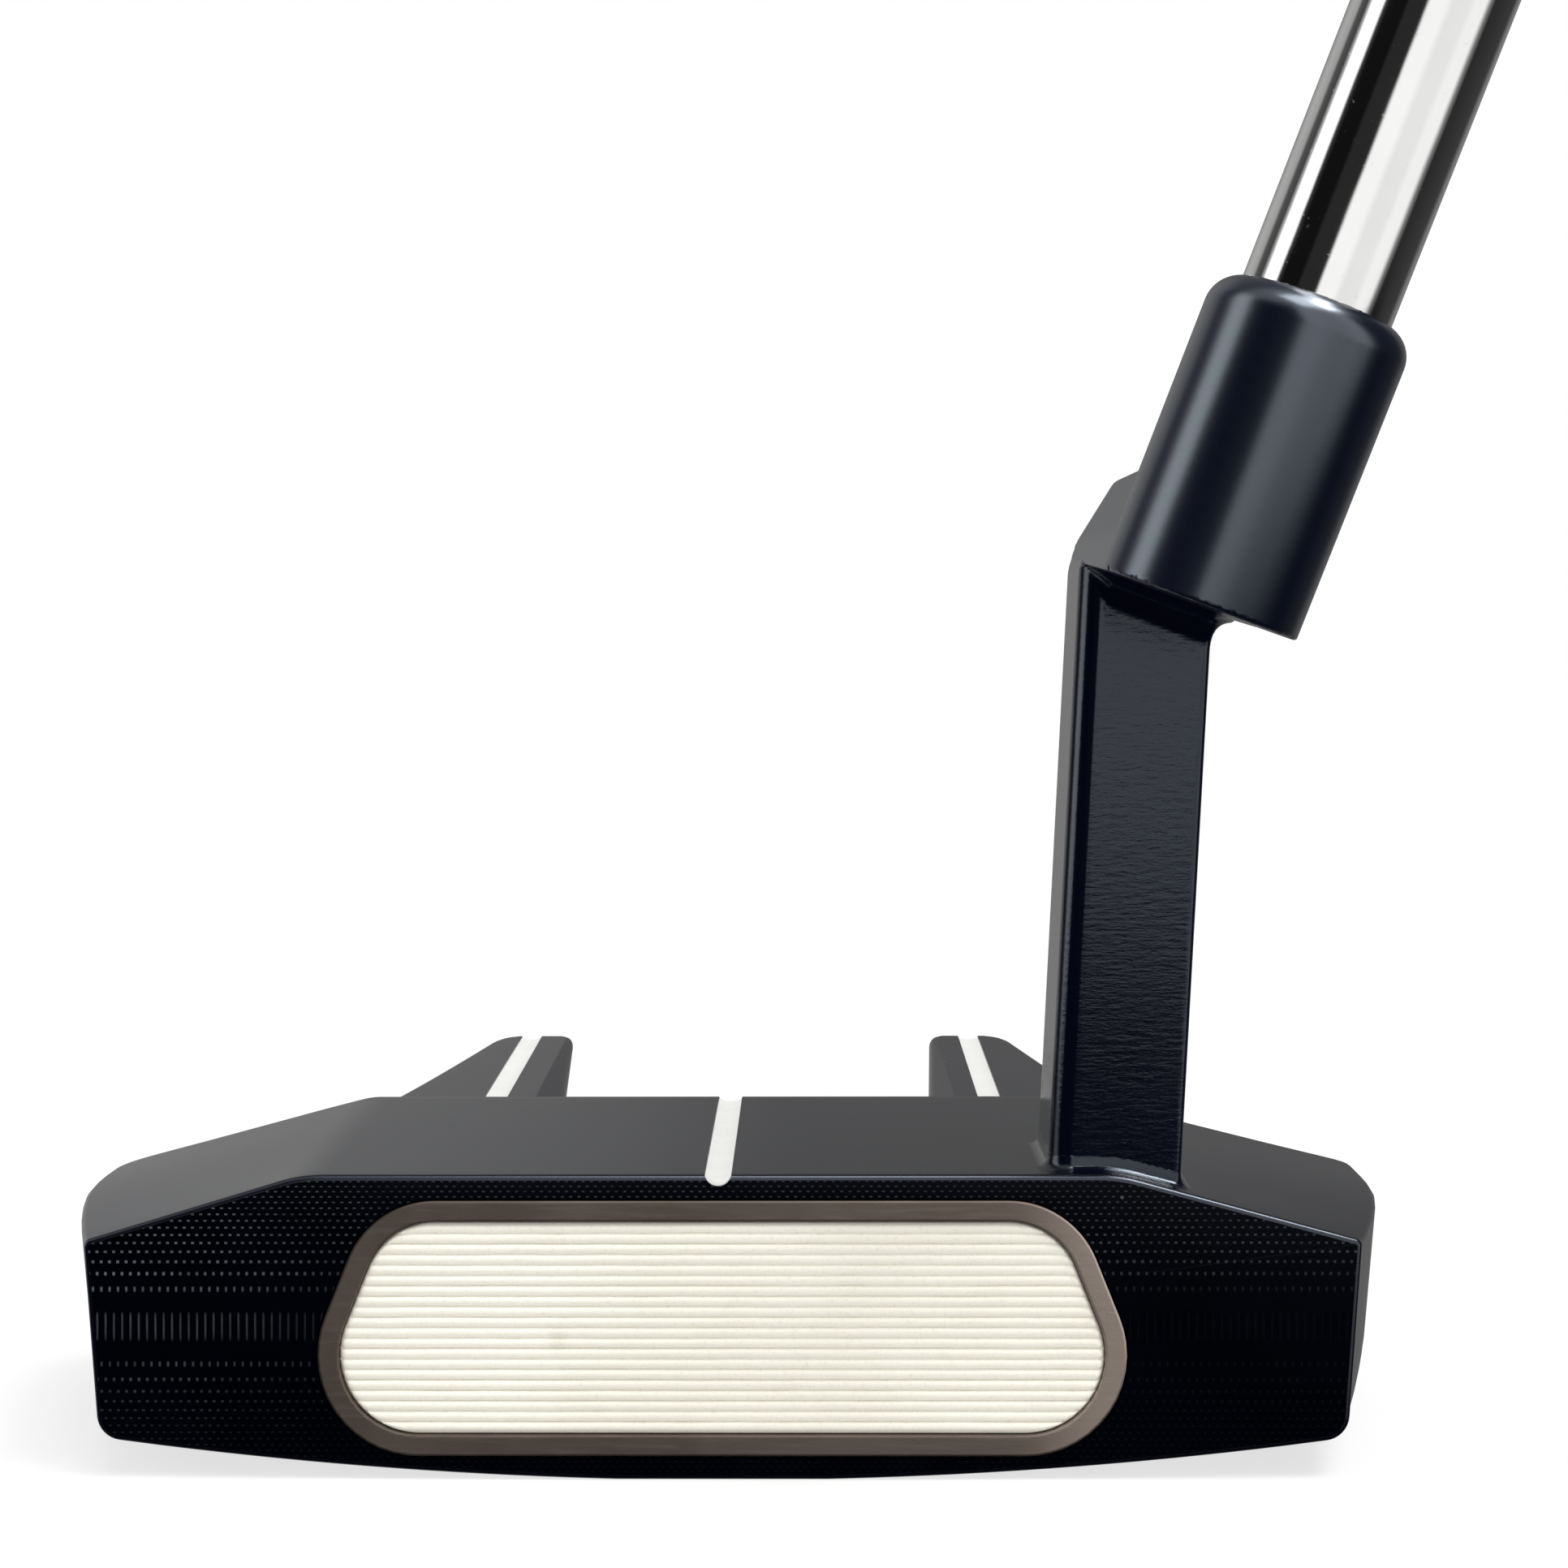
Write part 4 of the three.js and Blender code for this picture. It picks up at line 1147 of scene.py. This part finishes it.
def make_weight(side, steel):
    lift = sole_height(WEIGHT_X + WEIGHT_RADIUS) + 0.2
    angle = circle(96)
    hexagon = 2.2 * math.cos(math.pi / 6) / np.cos((angle % (math.pi / 3)) - math.pi / 6)
    r = WEIGHT_RADIUS
    profile = [
        (r, WEIGHT_LENGTH), (r, 0.45), (r - 0.12, 0.12), (r - 0.45, 0), (r - 1.3, 0), (r - 1.4, 0.12),
        (r - 1.7, 0.12), (r - 1.8, 0), (3.1, 0), (2.75, 0.2), (hexagon, 0.22), (hexagon, 2.6),
    ]
    verts, faces = loft([as_points(r * np.cos(angle), r * np.sin(angle), lift + h) for r, h in profile])
    verts = verts + np.array([side * WEIGHT_X, WEIGHT_Y, 0])
    end = "toe" if side < 0 else "heel"
    weight = make(f"{end}_weight_screw", verts, facing_out(verts, faces), [steel], 30)
    return keep(weight, "weight_steel", f"{end}_sole_weight")


# ---- Finishes -------------------------------------------------------------------------


def rubbed_specks(made, scale, size, patches, share):
    """Small specks, only where a slow noise lets them show."""
    return made.cells(scale).ease(*size, 1, 0) * made.noise(patches, 3, 0.6).ease(*share)


def satin_black(name, gloss, rough, navy=0.004, brushed=0.0):
    """Blasted black coat: navy in the light, with a fine tooth, faint clouds and a few rubbed specks."""
    material, made = finish(name)
    cloud = made.noise(45, 4)
    tooth = made.noise(5200, 2, 0.6)
    speck = rubbed_specks(made, 420, (0.045, 0.1), 38, (0.62, 0.68))
    dark, light = (0.0009, 0.28 * navy, navy), (0.0017, 0.36 * navy, 1.35 * navy)
    tone = made.mix(cloud.ease(0.3, 0.7), dark, light)
    colour = made.mix(speck * 0.5, tone, (0.16, 0.16, 0.155))
    level = rough - 0.03 + cloud * 0.04 + tooth * 0.05 + speck * 0.15
    normal = made.bump(tooth, 0.12, 0.02)
    if brushed:
        strokes = made.noise(1900, 3, 0.65, made.stretched((0.3, 1, 1.3)))
        normal = made.bump(strokes, brushed, 0.1, normal)
    coat(made, colour, level, normal, {"IOR": gloss, "Specular Tint": (0.77, 0.87, 1.0, 1)})
    return material


def milled_black():
    """The strike face: two crossing sets of fly-cutter arcs leave rows of small facets, whose glints are
    painted into the colour as bright dashes.
    """
    material, made = finish("fly_milled_face")
    x, _, z = made.where()
    sweep, feed, middle = 12.86, 0.636, 11.75
    height = z - middle
    bow = height * height * (0.5 / sweep)
    turn = 2 * math.pi / feed
    wander = made.noise(150, 2) * 0.07
    along = ((x + wander) * turn).cosine()
    rows = (bow * turn).cosine()
    reach = height.abs()
    sharp = reach.ease(1.2, 6.5, 0.6, 0.3)
    # painted glints: dimmer in the middle band of the face
    middle_glint_dim = reach.ease(2.1, 3.4, 0.5, 1.0)
    crossing = ((along * rows - sharp) * 4).least(0).most(1)
    facet_glint = rows.abs().ease(0.86, 0.99) * crossing * middle_glint_dim
    patchy = made.noise(420, 2, 0.5).ease(0.3, 0.65, 0.5, 1.0)
    # painted glints: lighter in the upper rows, which face the light; the long strokes at mid height and
    # the lower rows fade toward the heel
    toe = x.ease(-46, -24)
    upper = height.ease(-9, 4, 0.1, 1.0)
    faded_glint = height.ease(1.5, 6, 0.03, 0.36)
    painted_glint = facet_glint * patchy * (upper * (1 - toe) + faded_glint * toe)
    cloud = made.noise(90, 3)
    streak = made.noise(700, 2, 0.5, made.stretched((1, 1, 0.12)))
    fine = made.noise(3800, 2, 0.6)
    speck = rubbed_specks(made, 520, (0.05, 0.12), 60, (0.64, 0.7))
    base = made.mix(streak * cloud.ease(0.3, 0.7), (0.0003, 0.0005, 0.0014), (0.0007, 0.001, 0.003))
    # painted glints: the facets' bright dashes are painted into the base colour
    colour = made.mix(painted_glint, base, (0.083, 0.09, 0.104))
    colour = made.mix(speck * 0.5, colour, (0.35, 0.35, 0.34))
    normal = made.bump(painted_glint, 0.25, 0.015)
    normal = made.bump(fine, 0.08, 0.02, normal)
    coat(made, colour, 0.09 + fine * 0.05, normal, {"IOR": 1.13, "Specular Tint": (0.8, 0.9, 1.0, 1)})
    return material


def taupe_metal():
    material, made = finish("taupe_anodised_rim")
    cloud = made.noise(110, 3)
    fine = made.noise(4200, 2, 0.6)
    lines = made.noise(2400, 2, 0.5, made.stretched((0.08, 1, 1)))
    colour = made.mix(cloud.ease(0.3, 0.7), (0.15, 0.12, 0.1), (0.19, 0.157, 0.135))
    x, _, _ = made.where()
    colour = made.mix(lines.ease(0.5, 0.75) * 0.35, colour, (0.26, 0.22, 0.19))
    # painted sheen: the rim is painted lighter toward the heel side, standing for the light's reflection
    # there
    colour = made.mix(x.ease(21, 30) * 0.75, colour, (0.5, 0.415, 0.36))
    normal = made.bump(fine, 0.14, 0.03)
    normal = made.bump(lines, 0.1, 0.03, normal)
    coat(made, colour, 0.27 + fine * 0.12, normal, {"Metallic": 0.9})
    return material


def cream_polymer():
    """Cream urethane with a sandy skin and a few faint stains."""
    material, made = finish("cream_ribbed_polymer")
    sand = made.noise(3600, 3, 0.65)
    cloud = made.noise(70, 3)
    stain = made.noise(240, 3, 0.6)
    colour = made.mix(cloud.ease(0.3, 0.7), (0.79, 0.765, 0.675), (0.83, 0.805, 0.72))
    colour = made.mix(sand.ease(0.5, 0.8) * 0.35, colour, (0.54, 0.5, 0.41))
    colour = made.mix(stain.ease(0.62, 0.8) * 0.25, colour, (0.52, 0.47, 0.37))
    normal = made.bump(sand, 0.3, 0.05)
    glow = {"Subsurface Weight": 0.08, "Subsurface Radius": (0.001, 0.0008, 0.0005)}
    coat(made, colour, 0.62 + sand * 0.2, normal, {"IOR": 1.45, **glow})
    return material


def white_enamel():
    material, made = finish("white_sight_enamel")
    cloud = made.noise(260, 3)
    fine = made.noise(2600, 2, 0.6)
    colour = made.mix(cloud, (0.74, 0.74, 0.72), (0.86, 0.86, 0.85))
    colour = made.mix(fine.ease(0.62, 0.8) * 0.3, colour, (0.5, 0.5, 0.49))
    normal = made.bump(fine, 0.15, 0.03)
    coat(made, colour, 0.38 + fine * 0.15, normal)
    return material


def bright_chrome():
    """Plated steel, polished along its length."""
    material, made = finish("polished_chrome_plate")
    made.where()
    up = Vector((0, 0, 1))
    lean = {"Vector": made.place, "Axis": AXIS.cross(up).normalized(), "Angle": AXIS.angle(up)}
    turn = made.node("ShaderNodeVectorRotate", {"rotation_type": "AXIS_ANGLE"}, lean).outputs[0]
    drawn = made.node("ShaderNodeMapping", {}, {"Vector": turn, "Scale": (1, 1, 0.05)}).outputs[0]
    lines = made.noise(1500, 3, 0.6, drawn)
    wander = made.noise(160, 2, 0.5)
    dust = made.noise(2600, 2, 0.7)
    haze = made.noise(130, 4, 0.6)
    colour = made.mix(haze, (0.60, 0.60, 0.61), (0.70, 0.70, 0.70))
    rough = 0.045 + haze.ease(0.45, 0.8) * 0.06 + lines * 0.03 + dust.ease(0.66, 0.75) * 0.18
    normal = made.bump(lines, 0.05, 0.02)
    normal = made.bump(wander, 0.06, 0.3, normal)
    coat(made, colour, rough, normal, {"Metallic": 1.0})
    return material


def grip_rubber():
    material, made = finish("moulded_grip_rubber")
    fine = made.noise(2600, 3, 0.6)
    cloud = made.noise(40, 3)
    pips = made.cells(900)
    colour = made.mix(cloud, (0.012, 0.012, 0.013), (0.022, 0.022, 0.023))
    colour = made.mix(fine.ease(0.6, 0.8) * 0.3, colour, (0.05, 0.05, 0.05))
    normal = made.bump(fine, 0.3, 0.08)
    normal = made.bump(pips, 0.35, 0.15, normal)
    coat(made, colour, 0.66 + fine * 0.15, normal)
    return material


def plain_grain(name, low, high, scale, rough, metallic=0.0):
    """A quiet grained finish for the small and the hidden pieces."""
    material, made = finish(name)
    grain = made.noise(scale, 4, 0.6)
    fine = made.noise(scale * 6, 2, 0.6)
    colour = made.mix(grain.ease(0.3, 0.7), low, high)
    normal = made.bump(fine, 0.2, 0.04)
    coat(made, colour, rough + fine * 0.12, normal, {"Metallic": metallic})
    return material


def refinish(node, material):
    """A new finish on a CAD node that is kept."""
    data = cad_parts[node].data
    data.materials.clear()
    data.materials.append(material)


# ---- Assembly -------------------------------------------------------------------------

bpy.context.scene.view_settings.view_transform = "Standard"
stand_camera()
studio_light()
soft_lamp("overhead_soft", (0.45, -0.7, 2.2), (0, 0, 0.05), 1.5, 1.1, 6.0)
soft_lamp("edge_soft", (1.0, -0.42, 2.1), (0.03, 0, 0.02), 0.7, 0.6, 14.0)
pale_floor()

make_head(satin_black("blasted_head_coat", 1.6, 0.21), milled_black())
for line in LINES:
    make_line(line, white_enamel())
make_rim(taupe_metal())
make_pad(cream_polymer())
make_neck(
    satin_black("blasted_neck_coat", 1.92, 0.22, 0.008),
    satin_black("brushed_post_coat", 1.5, 0.12, 0.006, 0.16),
)
make_shaft(bright_chrome())
make_grip(grip_rubber())
steel = plain_grain("turned_weight_steel", (0.32, 0.32, 0.33), (0.42, 0.42, 0.43), 300, 0.28, 0.95)
for side in (-1, 1):
    make_weight(side, steel)

tape = plain_grain("bonding_tape", (0.4, 0.34, 0.22), (0.5, 0.44, 0.3), 400, 0.7)
nylon = plain_grain("nylon_washer", (0.6, 0.58, 0.53), (0.7, 0.68, 0.63), 300, 0.5)
cork = plain_grain("cork_plug", (0.25, 0.14, 0.07), (0.42, 0.26, 0.14), 700, 0.85)
refinish("insert_tape", tape)
refinish("grip_tape", tape)
refinish("toe_weight_washer", nylon)
refinish("heel_weight_washer", nylon)
refinish("shaft_tip_plug", cork)
